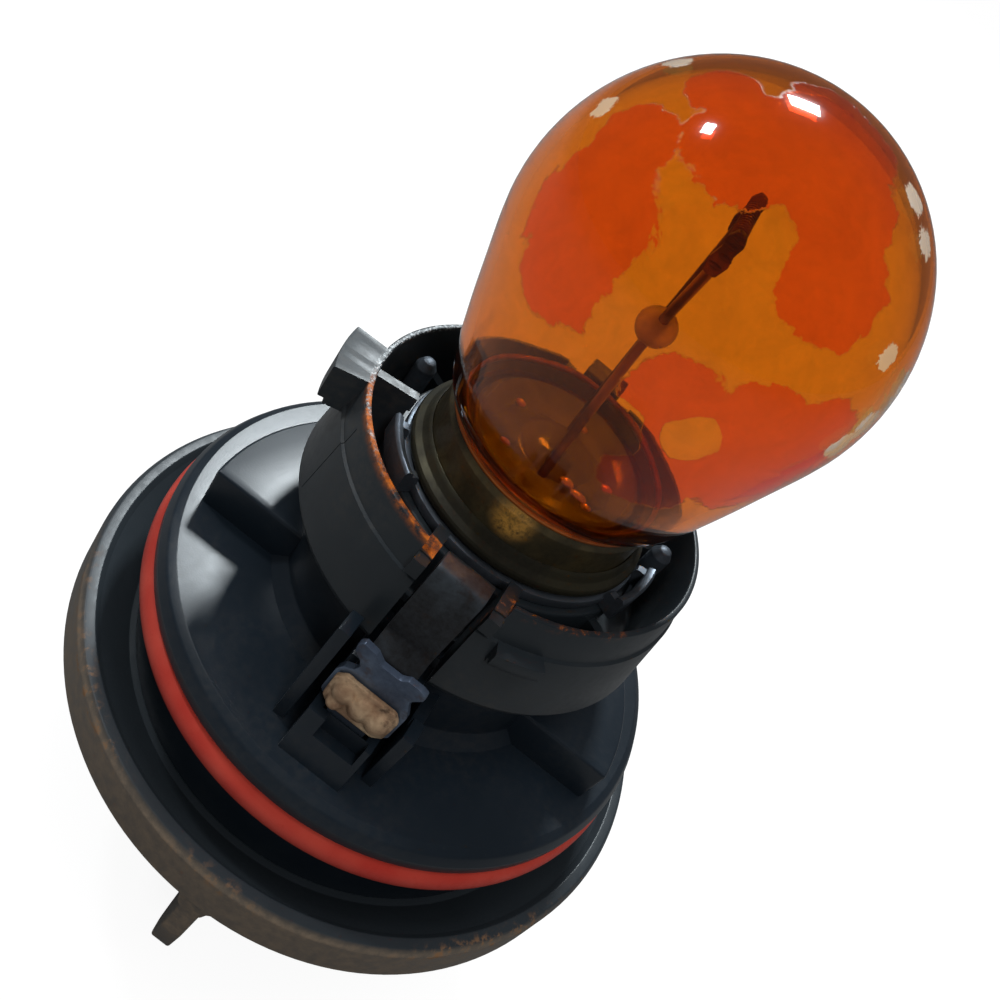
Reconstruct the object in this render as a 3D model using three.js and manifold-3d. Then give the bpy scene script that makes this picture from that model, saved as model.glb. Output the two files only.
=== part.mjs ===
// Amber signal lamp on a sealed plastic plug-in base, built as an assembly of separate pieces.
// Millimetres. +Z is the lamp axis, towards the tip of the glass. The origin lies on the axis in
// the plane of the carrier ring's underside. -Y is the side with the front terminal and the grip
// fin, +Y is the side that the cable connector faces.
import * as THREE from 'three';
import { mergeVertices } from 'three/addons/utils/BufferGeometryUtils.js';
import Module from 'manifold-3d';

const wasm = await Module();
wasm.setup();

// ---------------------------------------------------------------- driving dimensions
const GAP = 0.05;                 // clearance between pieces that touch in the real lamp
const ROUND = 40;                 // sides of a large round
const ROUND_SMALL = 24;           // sides of a small round

const GLOBE_Z = 19.3;             // centre of the round end of the glass
const GLOBE_R = 9.33;
const GLASS_WALL = 0.6;
const GLASS_FOOT_Z = 3.6;         // lower lip of the neck
const NECK_R = 5.6;
const SEAL_TOP_Z = 8.2;           // inner floor of the glass

const MOUNT_X = -0.35;            // the filament mount stands a little off the axis
const FILAMENT_Z = 22.4;
const FILAMENT_HALF = 2.45;       // half of the coil's length, along Y
const WIRE_R = 0.27;
const BEAD_Z = 16.4;
const BEAD_R = 1.05;

const CAP_R = 6.3;
const CAP_TOP_Z = 8.2;
const CAP_FOOT_Z = 2.2;

const RING_TOP_Z = 6.4;           // rim of the carrier ring
const RING_TOP_R = 10.0;
const RING_FOOT_R = 10.92;
const RING_STEP_Z = 4.35;         // the ring's outer band starts here
const COLLAR_R = 7.55;
const COLLAR_TOP_Z = 4.2;
const FLOOR_TOP_Z = 0.95;
const NOTCH_HALF = 1.75;          // half width of the notch that a contact strap sits in
const CHEEK_TOP_Z = 5.85;         // blocks beside the notch

const STRAP_LEFT = -1.42;         // the front strap's two edges along X
const STRAP_RIGHT = 1.2;
const STRAP_IN_Y = 9.5;           // inner leg of a contact strap
const STRAP_TOP_Z = 6.8;
const STRAP_Y = 11.1;             // outer face of a contact strap
const STRAP_T = 0.4;
const TAB_Y = 12.4;               // outer face of a terminal's welding tab
const TAB_T = 0.4;
const POST_X = 2.75;              // guide posts beside a welding tab

const STEM_R = 9.1;
const STEM_BORE_R = 7.6;
const DISC_TOP_Z = -6.2;
const DISC_R = 15.65;
const DISC_FOOT_Z = -7.75;        // the O-ring groove starts here
const PLATFORM_TOP_Z = -3.6;
const PLATFORM_R = 13.4;
const PLATFORM_CENTRE_Y = -3.4;   // the raised platform's round edge is struck from here
const PLATFORM_Y = -5.0;          // front wall of the raised platform
const ORING_R = 1.1;
const ORING_MAJOR = 14.9;
const GROOVE_R = 13.75;
const GROOVE_FOOT_Z = -9.98;
const NECK_OUT_R = 14.8;          // base neck below the O-ring
const BASE_FOOT_Z = -14.0;
const BASE_WALL = 1.5;

const FLANGE_R = 18.35;
const FLANGE_TOP_Z = -11.75;
const FLANGE_FOOT_Z = -15.15;
const HUB_R = 11.2;
const HUB_FOOT_Z = -28.4;
const FIN_HALF = 0.62;            // half thickness of the grip fin
const SOCKET_Y = 25.0;            // mouth of the connector
const SOCKET_FLOOR_Y = 12.0;
const SOCKET_Z = -22.4;           // centre line of the connector
const SOCKET_HALF_W = 5.4;
const SOCKET_HALF_H = 3.7;
const SOCKET_WALL = 1.3;
const PIN_X = 2.5;                // contact blades stand at plus and minus this
const PIN_T = 0.8;
const PIN_HALF_W = 0.85;
const PIN_TIP_Y = 19.2;
const CROSS_Z = -12.6;            // level at which the terminals cross inwards
const SEAL_R = 6.6;
const SEAL_DEPTH = 2.4;           // potting well under the terminals' crossing
const FRONT_DROP_Y = -3;          // where each terminal turns down to its blade
const REAR_DROP_Y = 4;
const WAY = 0.12;                 // room round a blade in the housing

// ---------------------------------------------------------------- colours and finishes
const finish = (color, roughness, metalness, extra = {}) =>
  () => new THREE.MeshStandardMaterial({ color, roughness, metalness, ...extra });
const blackPlastic = finish(0x1b2125, 0.42, 0);
const dustyPlastic = finish(0x2b2c2c, 0.55, 0);
const redRubber = finish(0x96281f, 0.6, 0);
const amberGlass = finish(0xc25a00, 0.05, 0, { transparent: true, opacity: 0.55 });
const clearGlass = finish(0x9a6a3a, 0.1, 0, { transparent: true, opacity: 0.8 });
const capBrass = finish(0x4a4127, 0.4, 1);
const nickelSteel = finish(0x8a9096, 0.4, 1);
const strapSteel = finish(0x3a302c, 0.45, 1);
const blueSteel = finish(0x4d586c, 0.35, 1);
const weldCopper = finish(0xa97a52, 0.45, 1);
const tungsten = finish(0x3a201a, 0.4, 1);
const leadWire = finish(0x7a5a45, 0.35, 1);
const cementTan = finish(0x8c7a60, 0.9, 0);
const sealResin = finish(0x232323, 0.6, 0);

// ---------------------------------------------------------------- geometry helpers
function toSolid(geometry) {
  const bare = geometry.clone();
  bare.deleteAttribute('normal');
  bare.deleteAttribute('uv');
  const merged = mergeVertices(bare, 1e-5);
  const source = merged.index.array;
  const kept = [];
  for (let i = 0; i < source.length; i += 3) {
    const [a, b, c] = [source[i], source[i + 1], source[i + 2]];
    if (a !== b && b !== c && c !== a) kept.push(a, b, c);
  }
  return new wasm.Manifold(new wasm.Mesh({
    numProp: 3,
    vertProperties: new Float32Array(merged.attributes.position.array),
    triVerts: new Uint32Array(kept),
  }));
}

function toGeometry(solid) {
  const mesh = solid.getMesh();
  const geometry = new THREE.BufferGeometry();
  geometry.setAttribute('position', new THREE.BufferAttribute(new Float32Array(mesh.vertProperties), 3));
  geometry.setIndex(new THREE.BufferAttribute(new Uint32Array(mesh.triVerts), 1));
  geometry.computeVertexNormals();
  return geometry;
}

const vec2 = (points) => points.map(([x, y]) => new THREE.Vector2(x, y));

function signedArea(points) {
  return points.reduce((sum, [x0, y0], i) => {
    const [x1, y1] = points[(i + 1) % points.length];
    return sum + (x0 * y1 - x1 * y0) / 2;
  }, 0);
}

// A turned solid: points are [radius, z]. A profile off the axis is closed on itself.
function turned(points, sides = ROUND) {
  const ordered = signedArea(points) > 0 ? [...points] : [...points].reverse();
  if (points.every(([r]) => r > 0)) ordered.push(ordered[0]);
  return toSolid(new THREE.LatheGeometry(vec2(ordered), sides).rotateX(Math.PI / 2));
}

function extruded(outline, depth) {
  return new THREE.ExtrudeGeometry(new THREE.Shape(vec2(outline)), {
    depth, bevelEnabled: false, curveSegments: 12,
  });
}

// Outline in X and Y, from z0 up to z1.
const plateZ = (outline, z0, z1) => toSolid(extruded(outline, z1 - z0).translate(0, 0, z0));

// Outline in Y and Z, from x0 to x1.
const AXES_YZX = new THREE.Matrix4().makeBasis(
  new THREE.Vector3(0, 1, 0), new THREE.Vector3(0, 0, 1), new THREE.Vector3(1, 0, 0));
const plateX = (outline, x0, x1) =>
  toSolid(extruded(outline, x1 - x0).applyMatrix4(AXES_YZX).translate(x0, 0, 0));

// Outline in X and Z, from y1 back to y0.
const AXES_XZY = new THREE.Matrix4().makeBasis(
  new THREE.Vector3(1, 0, 0), new THREE.Vector3(0, 0, 1), new THREE.Vector3(0, -1, 0));
const plateY = (outline, y0, y1) =>
  toSolid(extruded(outline, y1 - y0).applyMatrix4(AXES_XZY).translate(0, y1, 0));

const box = (x0, x1, y0, y1, z0, z1) =>
  toSolid(new THREE.BoxGeometry(x1 - x0, y1 - y0, z1 - z0)
    .translate((x0 + x1) / 2, (y0 + y1) / 2, (z0 + z1) / 2));

const joined = (...solids) => solids.reduce((a, b) => a.add(b));
const without = (solid, ...cuts) => cuts.reduce((a, b) => a.subtract(b), solid);
const halfTurn = (solid) => solid.rotate([0, 0, 180]);
const turnedBy = (solid, degrees) => solid.rotate([0, 0, degrees]);

// A round wire through a list of [x, y, z] points.
function wire(points, radius, steps, sides = 10) {
  const path = new THREE.CatmullRomCurve3(points.map((p) => new THREE.Vector3(...p)), false, 'centripetal');
  const section = new THREE.Shape(vec2(Array.from({ length: sides }, (_, i) => {
    const a = (i / sides) * 2 * Math.PI;
    return [radius * Math.cos(a), radius * Math.sin(a)];
  })));
  return toSolid(new THREE.ExtrudeGeometry(section, { steps, extrudePath: path, bevelEnabled: false }));
}

const polar = (radius, degrees, z) => {
  const a = THREE.MathUtils.degToRad(degrees);
  return [radius * Math.cos(a), radius * Math.sin(a), z];
};

const arc = (radius, from, to, steps) => Array.from({ length: steps + 1 }, (_, i) =>
  polar(radius, from + ((to - from) * i) / steps, 0).slice(0, 2));

// A piece of a ring between two angles, in degrees, as an outline in X and Y.
const ringSector = (inner, outer, from, to, steps = 6) =>
  [...arc(outer, from, to, steps), ...arc(inner, to, from, steps)];

const lamp = new THREE.Group();
function place(name, solid, material) {
  const mesh = new THREE.Mesh(toGeometry(solid), material());
  mesh.name = name;
  lamp.add(mesh);
}

// ---------------------------------------------------------------- glass bulb
function globeArc(radius, from, to, steps) {
  return Array.from({ length: steps + 1 }, (_, i) => {
    const a = THREE.MathUtils.degToRad(from + ((to - from) * i) / steps);
    return [i === 0 && from === 90 ? 0 : radius * Math.cos(a), GLOBE_Z + radius * Math.sin(a)];
  });
}

// Half-section of the glass from below the globe down to the neck, as [radius, z].
const GLASS_FLANK = [[9.02, 16.9], [8.6, 15.1], [8.18, 13.3], [7.82, 11.9], [7.44, 10.5], [7.0, 9.4],
  [6.5, 8.75], [6.1, 8.42], [NECK_R, 8.05], [NECK_R, GLASS_FOOT_Z]];

function glassEnvelope() {
  const outer = [...globeArc(GLOBE_R, 90, -8, 9), ...GLASS_FLANK];
  const inner = [...globeArc(GLOBE_R - GLASS_WALL, 90, -8, 9),
    ...GLASS_FLANK.map(([r, z], i) => [r - GLASS_WALL, i < 7 ? z + 0.18 : z])];
  return turned([...outer, ...inner.reverse()]);
}

const sealPlate = () => turned([[0, SEAL_TOP_Z], [4.5, SEAL_TOP_Z], [4.92, SEAL_TOP_Z - 0.35],
  [4.92, GLASS_FOOT_Z + 0.1], [4.5, GLASS_FOOT_Z - 0.2], [0, GLASS_FOOT_Z - 0.2]], ROUND_SMALL);

const exhaustStub = () => turned([[0, 3.3], [1.3, 3.3], [1.3, 2.2], [0.8, 1.55], [0.25, 1.3], [0, 1.3]], 20);

// ---------------------------------------------------------------- filament mount
function supportPath(side) {
  const x = MOUNT_X;
  return [[0, side * 2.3, SEAL_TOP_Z + GAP], [x * 0.3, side * 2.1, 9.6], [x * 0.7, side * 1.2, 12.6],
    [x, side * 0.5, 15.0], [x, side * 0.46, BEAD_Z], [x, side * 0.6, 17.6],
    [x, side * 1.35, 19.2], [x, side * 2.1, 20.8], [x, side * 2.62, 21.75]];
}

const supportWire = (side) => wire(supportPath(side), WIRE_R, 24, 8);

function glassBead() {
  const ball = toSolid(new THREE.SphereGeometry(BEAD_R, 16, 10)).translate([MOUNT_X, 0, BEAD_Z]);
  return without(ball, ...[1, -1].map((side) => wire(supportPath(side), WIRE_R + 0.05, 24, 8)));
}

// A flattened hook that grips one end of the coil.
const clampOutline = [[-0.55, 0], [-0.42, -0.3], [0.42, -0.3], [0.55, 0], [0.5, 0.95], [0.28, 1.2],
  [-0.28, 1.2], [-0.5, 0.95]];
const filamentClamp = (side) =>
  plateY(clampOutline.map(([x, z]) => [x + MOUNT_X, z + 22.1]), -0.22, 0.22).translate([0, side * 2.85, 0]);

function filamentCoil() {
  const turns = 7;
  const stepsPerTurn = 8;
  const coilR = 0.36;
  const points = Array.from({ length: turns * stepsPerTurn + 1 }, (_, i) => {
    const a = (i / stepsPerTurn) * 2 * Math.PI;
    return [MOUNT_X + coilR * Math.sin(a), -FILAMENT_HALF + (2 * FILAMENT_HALF * i) / (turns * stepsPerTurn),
      FILAMENT_Z + coilR * Math.cos(a)];
  });
  return wire(points, 0.1, turns * stepsPerTurn, 5);
}

// ---------------------------------------------------------------- metal cap and its fixings
const basingCement = () => turned([[NECK_R + GAP, 3.9], [CAP_R - 0.4, 3.9], [CAP_R - 0.4, 7.6],
  [NECK_R + GAP, 7.6]]);

const capShell = () => turned([[CAP_R, CAP_FOOT_Z], [CAP_R, 7.8], [6.15, CAP_TOP_Z], [CAP_R - 0.35, CAP_TOP_Z],
  [CAP_R - 0.35, CAP_FOOT_Z]]);

const capFlange = () => turned([[CAP_R + GAP, 6.25], [6.5, 6.0], [6.66, 5.72], [6.95, 5.5], [7.02, 5.36],
  [7.02, 5.05], [CAP_R + GAP, 5.05]]);

const LEAF_ANGLES = [-143, -14, 52, 126];
const LEAF_HALF = 14;

function retainingRing() {
  const band = turned([[CAP_R + 0.1, 4.28], [7.2, 4.28], [7.2, 4.85], [CAP_R + 0.1, 4.85]]);
  const leaf = joined(
    plateZ(ringSector(7.62, 8.1, -LEAF_HALF, LEAF_HALF, 8), 4.28, 5.75),
    plateZ(ringSector(7.15, 8.05, -LEAF_HALF, -LEAF_HALF + 4, 2), 4.28, 5.4),
    plateZ(ringSector(7.15, 8.05, LEAF_HALF - 4, LEAF_HALF, 2), 4.28, 5.4));
  return joined(band, ...LEAF_ANGLES.map((angle) => turnedBy(leaf, angle)));
}

function locatingPin(angle) {
  const [x, y] = polar(8.45, angle, 0);
  return turned([[0, FLOOR_TOP_Z + GAP], [0.62, FLOOR_TOP_Z + GAP], [0.62, 5.0], [0.5, 5.38], [0.26, 5.58],
    [0, 5.64]], 16).translate([x, y, 0]);
}

// ---------------------------------------------------------------- carrier ring with its lugs
function lug(centre, halfAngle, z0, z1, outer) {
  const slab = plateZ(ringSector(9.75, outer, centre - halfAngle, centre + halfAngle, 4), z0, z1);
  const toe = plateZ(ringSector(9.9, outer - 0.4, centre - halfAngle, centre + halfAngle, 4), z0 - 0.35, z0 + 0.1);
  return joined(slab, toe);
}

function carrierRing() {
  const body = turned([[9.7, RING_TOP_Z], [RING_TOP_R, RING_TOP_Z], [10.27, RING_STEP_Z + 0.1],
    [10.42, RING_STEP_Z], [RING_FOOT_R, 0.35], [10.7, 0], [5.0, 0], [5.0, FLOOR_TOP_Z],
    [CAP_R + 0.15, FLOOR_TOP_Z], [CAP_R + 0.15, COLLAR_TOP_Z], [COLLAR_R, COLLAR_TOP_Z],
    [COLLAR_R, FLOOR_TOP_Z], [9.4, FLOOR_TOP_Z], [9.52, 4.0]]);
  const rib = (angle, outer, top) =>
    turnedBy(box(COLLAR_R - 0.1, outer, -0.28, 0.28, FLOOR_TOP_Z - 0.1, top), angle);
  const spoke = turnedBy(joined(box(COLLAR_R - 0.1, 9.75, -0.28, 0.28, FLOOR_TOP_Z - 0.1, 5.9),
    box(7.3, COLLAR_R, -0.28, 0.28, 5.0, 5.9)), -169);
  const lugs = [lug(-67, 6.7, 3.65, 4.45, 11.15), lug(-168, 9.2, 4.3, RING_TOP_Z, 11.85),
    lug(48, 6.7, 3.65, 4.45, 11.15)];
  const cheekAt = [NOTCH_HALF, NOTCH_HALF + 0.68];
  const cheek = ([x0, x1]) => joined(box(x0, x1, -9.85, -7.75, FLOOR_TOP_Z - 0.1, CHEEK_TOP_Z),
    box(x0, x1, -10.45, -9.5, CHEEK_TOP_Z - 1.1, CHEEK_TOP_Z - 0.1));
  const mirrored = ([x0, x1]) => [-x1, -x0];
  const cheeks = joined(cheek(cheekAt), cheek(mirrored(cheekAt)));
  const shoulder = ([x0, x1]) => box(x0 - 0.1, x1, -13, -9, CHEEK_TOP_Z, RING_TOP_Z + 1);
  const notch = joined(box(-NOTCH_HALF, NOTCH_HALF, -13, -8.3, -1, RING_TOP_Z + 1), shoulder(cheekAt),
    shoulder(mirrored(cheekAt)), box(-0.5, 0.5, -8.5, -5.6, FLOOR_TOP_Z, 2.3));
  return without(joined(body, spoke, ...lugs, cheeks, halfTurn(cheeks), rib(-28, 9.6, 3.4), rib(-57, 9.6, 3.4),
    rib(150, 9.6, 3.4), rib(30, 9.6, 3.4)), notch, halfTurn(notch));
}

// ---------------------------------------------------------------- contact straps, welds, terminals
const frontContactStrap = () => {
  const outer = -STRAP_Y;
  const inner = -STRAP_IN_Y;
  const tail = TAB_T - TAB_Y + 0.1;
  const under = STRAP_TOP_Z - STRAP_T;
  return plateX([[inner, 1.15], [inner, STRAP_TOP_Z - 0.35], [inner - 0.35, STRAP_TOP_Z],
    [outer + 0.3, STRAP_TOP_Z], [outer, STRAP_TOP_Z - 0.3], [outer, 1.9], [tail, 1.05], [tail, -2.95],
    [tail + STRAP_T, -2.95], [tail + STRAP_T, 1.2], [outer + STRAP_T, 2.05], [outer + STRAP_T, under],
    [inner - STRAP_T, under], [inner - STRAP_T, 1.15]], STRAP_LEFT, STRAP_RIGHT);
};

const outerLead = () => wire([[0, -2.3, 3.3], [0, -2.35, 2.4], [0, -3.0, 1.75], [0, -4.6, 1.6],
  [0, -6.6, 1.6], [0, GAP - STRAP_IN_Y, 1.6]], 0.3, 16, 8);

// Welding tab outline in X and Z: a head with two horns, a neck and a wide weld area.
const TAB_OUTLINE = [[-1.72, 1.62], [-1.95, 1.32], [-1.86, 0.86], [-1.42, 0.52], [-1.2, 0.16], [-1.36, -0.28],
  [-1.8, -0.52], [-2.0, -0.95], [-2.0, -2.75], [-1.5, -3.25], [1.5, -3.25], [2.0, -2.75], [2.0, -0.75],
  [1.75, -0.2], [1.55, 0.35], [1.98, 0.95], [1.98, 1.3], [1.6, 1.42], [-1.2, 1.42]];

function terminalRun(pinSide, fromY, toY) {
  const x0 = pinSide * PIN_X - PIN_HALF_W;
  const x1 = pinSide * PIN_X + PIN_HALF_W;
  const [low, high] = [Math.min(x0, -1.1), Math.max(x1, 1.1)];
  const outward = Math.sign(fromY);
  return joined(
    box(low, high, Math.min(fromY, fromY - outward * 2.2), Math.max(fromY, fromY - outward * 2.2),
      CROSS_Z - 0.6, CROSS_Z),
    box(x0, x1, Math.min(fromY, toY), Math.max(fromY, toY), CROSS_Z - 0.6, CROSS_Z),
    box(x0, x1, toY - 0.3, toY + 0.3, SOCKET_Z - PIN_T / 2, CROSS_Z - 0.1),
    box(x0, x1, toY - 0.3, PIN_TIP_Y - 0.8, SOCKET_Z - PIN_T / 2, SOCKET_Z + PIN_T / 2),
    plateX([[PIN_TIP_Y - 0.9, SOCKET_Z - PIN_T / 2], [PIN_TIP_Y, SOCKET_Z - 0.15], [PIN_TIP_Y, SOCKET_Z + 0.15],
      [PIN_TIP_Y - 0.9, SOCKET_Z + PIN_T / 2]], x0, x1));
}

function terminal(front) {
  const tab = plateY(TAB_OUTLINE, -TAB_Y, -TAB_Y + TAB_T);
  const leg = box(-1.1, 1.1, -TAB_Y, -TAB_Y + TAB_T, CROSS_Z - 0.6, -3.1);
  const upper = joined(tab, leg);
  return joined(front ? upper : halfTurn(upper),
    terminalRun(front ? -1 : 1, front ? -TAB_Y : TAB_Y, front ? FRONT_DROP_Y : REAR_DROP_Y));
}

function weldNuggets() {
  const nugget = (x, z, rx, rz) => toSolid(new THREE.SphereGeometry(1, 10, 6)).scale([rx, 0.5, rz])
    .translate([x, -TAB_Y - 0.52, z]);
  const base = plateY([[-1.85, -1.0], [-1.45, -0.55], [1.5, -0.62], [1.85, -1.1], [1.8, -2.6], [1.3, -3.05],
    [-1.3, -3.05], [-1.8, -2.6]], -TAB_Y - 0.4, -TAB_Y - GAP);
  return joined(base, nugget(-1.0, -1.45, 0.62, 0.72), nugget(0.1, -1.7, 0.66, 0.85),
    nugget(1.1, -1.8, 0.6, 0.82));
}

// ---------------------------------------------------------------- sealed base
const BURIED_Z = DISC_TOP_Z - 0.2;   // what stands on the disc starts a little inside it

const pocket = () => plateX([[-14.1, BURIED_Z], [-12.95, -2.3], [-11.2, -2.3], [-11.2, -0.9], [-8.6, -0.9],
  [-8.6, BURIED_Z]], -1.85, 1.85);

// The recess in the front pocket's sloping face.
const bay = () => plateX([[-15, -2.0], [-13.6, -4.5], [-12.8, -4.7], [-12.8, 0], [-15, 0]], -0.85, 1.5);

function platform() {
  const overhang = THREE.MathUtils.radToDeg(Math.asin((PLATFORM_CENTRE_Y - PLATFORM_Y) / PLATFORM_R));
  const edge = arc(PLATFORM_R, -overhang, 180 + overhang, 36);
  return plateZ(edge.map(([x, y]) => [x, y + PLATFORM_CENTRE_Y]), BURIED_Z, PLATFORM_TOP_Z);
}

const post = (x, top) => joined(
  box(x - 0.34, x + 0.34, -12.7, -11.3, BURIED_Z, top),
  box(x - 0.34, x + 0.34, -12.7, -8.4, BURIED_Z, -2.6));

function baseBody() {
  const stem = turned([[STEM_BORE_R, -5.6], [STEM_R + 0.5, -5.6], [STEM_R + 0.5, DISC_TOP_Z + 0.05],
    [STEM_R + 0.12, DISC_TOP_Z + 0.35], [STEM_R, DISC_TOP_Z + 0.8], [STEM_R - 0.1, -0.05 - GAP],
    [STEM_BORE_R, -0.05 - GAP]]);
  const disc = turned([[0, DISC_TOP_Z], [14.75, DISC_TOP_Z], [15.1, DISC_TOP_Z - 0.28], [DISC_R, DISC_TOP_Z - 0.75],
    [DISC_R, DISC_FOOT_Z], [GROOVE_R, DISC_FOOT_Z], [GROOVE_R, GROOVE_FOOT_Z], [NECK_OUT_R, GROOVE_FOOT_Z],
    [NECK_OUT_R, BASE_FOOT_Z], [NECK_OUT_R - BASE_WALL, BASE_FOOT_Z], [NECK_OUT_R - BASE_WALL, -8.4], [0, -8.4]]);
  const bore = toSolid(new THREE.CylinderGeometry(STEM_BORE_R, STEM_BORE_R, 6, ROUND).rotateX(Math.PI / 2))
    .translate([0, 0, -2.6]);
  const posts = joined(post(-POST_X, 1.75), post(POST_X, -1.6));
  const slot = box(-1.3, 1.3, -TAB_Y - 0.35, -TAB_Y + TAB_T + 0.2, BASE_FOOT_Z - 1, 0);
  const tabRoom = box(-2.2, 2.2, -TAB_Y - 1.1, -11.3, -3.4, 2);
  return without(joined(stem, disc, platform(), pocket(), posts, halfTurn(pocket()), halfTurn(posts)),
    bore, bay(), slot, halfTurn(slot), tabRoom, halfTurn(tabRoom));
}

const oRing = () => {
  const sides = 8;
  return turned(Array.from({ length: sides }, (_, i) => {
    const a = ((i + 0.5) / sides) * 2 * Math.PI;
    return [ORING_MAJOR + ORING_R * Math.cos(a), (DISC_FOOT_Z + GROOVE_FOOT_Z) / 2 + ORING_R * Math.sin(a)];
  }), 56);
};

// ---------------------------------------------------------------- rear housing with the connector
function rearHousing() {
  const top = BASE_FOOT_Z - GAP;
  const flange = turned([[0, top], [NECK_OUT_R + 0.35, top], [NECK_OUT_R + 1.3, -13.2], [17.2, -12.15],
    [17.5, FLANGE_TOP_Z], [18.1, FLANGE_TOP_Z], [FLANGE_R, FLANGE_TOP_Z - 0.3], [FLANGE_R + 0.1, FLANGE_FOOT_Z + 0.3],
    [FLANGE_R - 0.2, FLANGE_FOOT_Z], [0, FLANGE_FOOT_Z]], 64);
  const hub = turned([[0, FLANGE_FOOT_Z + 0.2], [HUB_R + 0.5, FLANGE_FOOT_Z + 0.2], [HUB_R, FLANGE_FOOT_Z - 0.8],
    [HUB_R - 0.2, HUB_FOOT_Z + 0.8], [HUB_R - 1, HUB_FOOT_Z], [0, HUB_FOOT_Z]]);
  const w = SOCKET_HALF_W + SOCKET_WALL;
  const h = SOCKET_HALF_H + SOCKET_WALL;
  const chamfer = 1.1;
  const shroud = plateY([[-w, SOCKET_Z - h], [w, SOCKET_Z - h], [w, SOCKET_Z + h - chamfer],
    [w - chamfer, SOCKET_Z + h], [chamfer - w, SOCKET_Z + h], [-w, SOCKET_Z + h - chamfer]], 4, SOCKET_Y);
  const under = SOCKET_Z - h;
  const over = SOCKET_Z + h;
  const collar = plateY([[-w - 0.5, under - 0.5], [w + 0.5, under - 0.5], [w + 0.5, over - 0.6], [w - 0.6, over + 0.5],
    [0.6 - w, over + 0.5], [-w - 0.5, over - 0.6]], SOCKET_Y - 11, SOCKET_Y - 9.6);
  const latch = plateX([[SOCKET_Y - 7.5, under + 0.3], [SOCKET_Y - 7.5, under - 1.3], [SOCKET_Y - 6.7, under - 1.3],
    [SOCKET_Y - 3.6, under], [SOCKET_Y - 3.6, under + 0.3]], -1.7, 1.7);
  const guide = (x) => box(x - 0.5, x + 0.5, SOCKET_Y - 9.7, SOCKET_Y - 0.6, under - 0.7, under + 0.3);
  const socket = box(-SOCKET_HALF_W, SOCKET_HALF_W, SOCKET_FLOOR_Y, SOCKET_Y + 1, SOCKET_Z - SOCKET_HALF_H,
    SOCKET_Z + SOCKET_HALF_H);
  const fin = plateX([[-HUB_R + 0.6, FLANGE_FOOT_Z + 0.2], [-18.1, FLANGE_FOOT_Z + 0.2], [-18.15, -19.5],
    [-17.6, -22.6], [-15.6, -25.2], [-HUB_R + 0.6, -26.4]], -FIN_HALF, FIN_HALF);
  const finRoot = plateY([[-1.05, FLANGE_FOOT_Z + 0.2], [-0.95, FLANGE_FOOT_Z - 0.35],
    [-FIN_HALF, FLANGE_FOOT_Z - 1.9], [FIN_HALF, FLANGE_FOOT_Z - 1.3], [0.8, FLANGE_FOOT_Z - 0.5],
    [1.35, FLANGE_FOOT_Z + 0.2]], -18.1, -HUB_R + 0.6);
  const wellHeight = SEAL_DEPTH + 0.6;
  const sealWell = toSolid(new THREE.CylinderGeometry(SEAL_R, SEAL_R, wellHeight, ROUND_SMALL).rotateX(Math.PI / 2))
    .translate([0, 0, top - SEAL_DEPTH + wellHeight / 2]);
  const slot = (side, y) => {
    const x0 = side * PIN_X - PIN_HALF_W - WAY;
    const x1 = side * PIN_X + PIN_HALF_W + WAY;
    const foot = SOCKET_Z - PIN_T / 2 - WAY;
    return joined(box(x0, x1, y - 0.3 - WAY, y + 0.3 + WAY, foot, top + 1),
      box(x0, x1, y - 0.3 - WAY, SOCKET_FLOOR_Y + 1, foot, SOCKET_Z + PIN_T / 2 + WAY));
  };
  const crossRoom = box(-3.6, 3.6, -12.9, 12.9, top - 0.01, top + 0.5);
  return without(joined(flange, hub, shroud, collar, latch, guide(-3.6), guide(3.6), fin, finRoot),
    socket, sealWell, slot(-1, FRONT_DROP_Y), slot(1, REAR_DROP_Y), crossRoom);
}

function terminalSeal() {
  const plugTop = BASE_FOOT_Z - 0.2;
  const plugFoot = BASE_FOOT_Z - SEAL_DEPTH;
  const plug = turned([[0, plugFoot], [SEAL_R - GAP, plugFoot], [SEAL_R - GAP, plugTop], [0, plugTop]], ROUND_SMALL);
  const leg = (side, y) => box(side * PIN_X - PIN_HALF_W - GAP, side * PIN_X + PIN_HALF_W + GAP,
    y - 0.3 - GAP, y + 0.3 + GAP, plugFoot - 1, plugTop + 1);
  return without(plug, leg(-1, FRONT_DROP_Y), leg(1, REAR_DROP_Y));
}

// ---------------------------------------------------------------- assembly
place('glass_envelope', glassEnvelope(), amberGlass);
place('glass_seal_plate', sealPlate(), clearGlass);
place('exhaust_stub', exhaustStub(), clearGlass);
place('glass_bead', glassBead(), clearGlass);
place('support_wire_front', supportWire(-1), leadWire);
place('support_wire_rear', supportWire(1), leadWire);
place('filament_clamp_front', filamentClamp(-1), tungsten);
place('filament_clamp_rear', filamentClamp(1), tungsten);
place('filament_coil', filamentCoil(), tungsten);
place('basing_cement', basingCement(), cementTan);
place('cap_shell', capShell(), capBrass);
place('cap_flange', capFlange(), capBrass);
place('retaining_ring', retainingRing(), nickelSteel);
place('locating_pin_left', locatingPin(164.5), nickelSteel);
place('locating_pin_right', locatingPin(15.5), nickelSteel);
place('carrier_ring', carrierRing(), blackPlastic);
place('contact_strap_front', frontContactStrap(), strapSteel);
place('contact_strap_rear', halfTurn(frontContactStrap()), strapSteel);
place('outer_lead_front', outerLead(), leadWire);
place('outer_lead_rear', halfTurn(outerLead()), leadWire);
place('terminal_front', terminal(true), blueSteel);
place('terminal_rear', terminal(false), blueSteel);
place('weld_nuggets_front', weldNuggets(), weldCopper);
place('weld_nuggets_rear', halfTurn(weldNuggets()), weldCopper);
place('base_body', baseBody(), blackPlastic);
place('o_ring', oRing(), redRubber);
place('terminal_seal', terminalSeal(), sealResin);
place('rear_housing', rearHousing(), dustyPlastic);

export default lamp;
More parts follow.
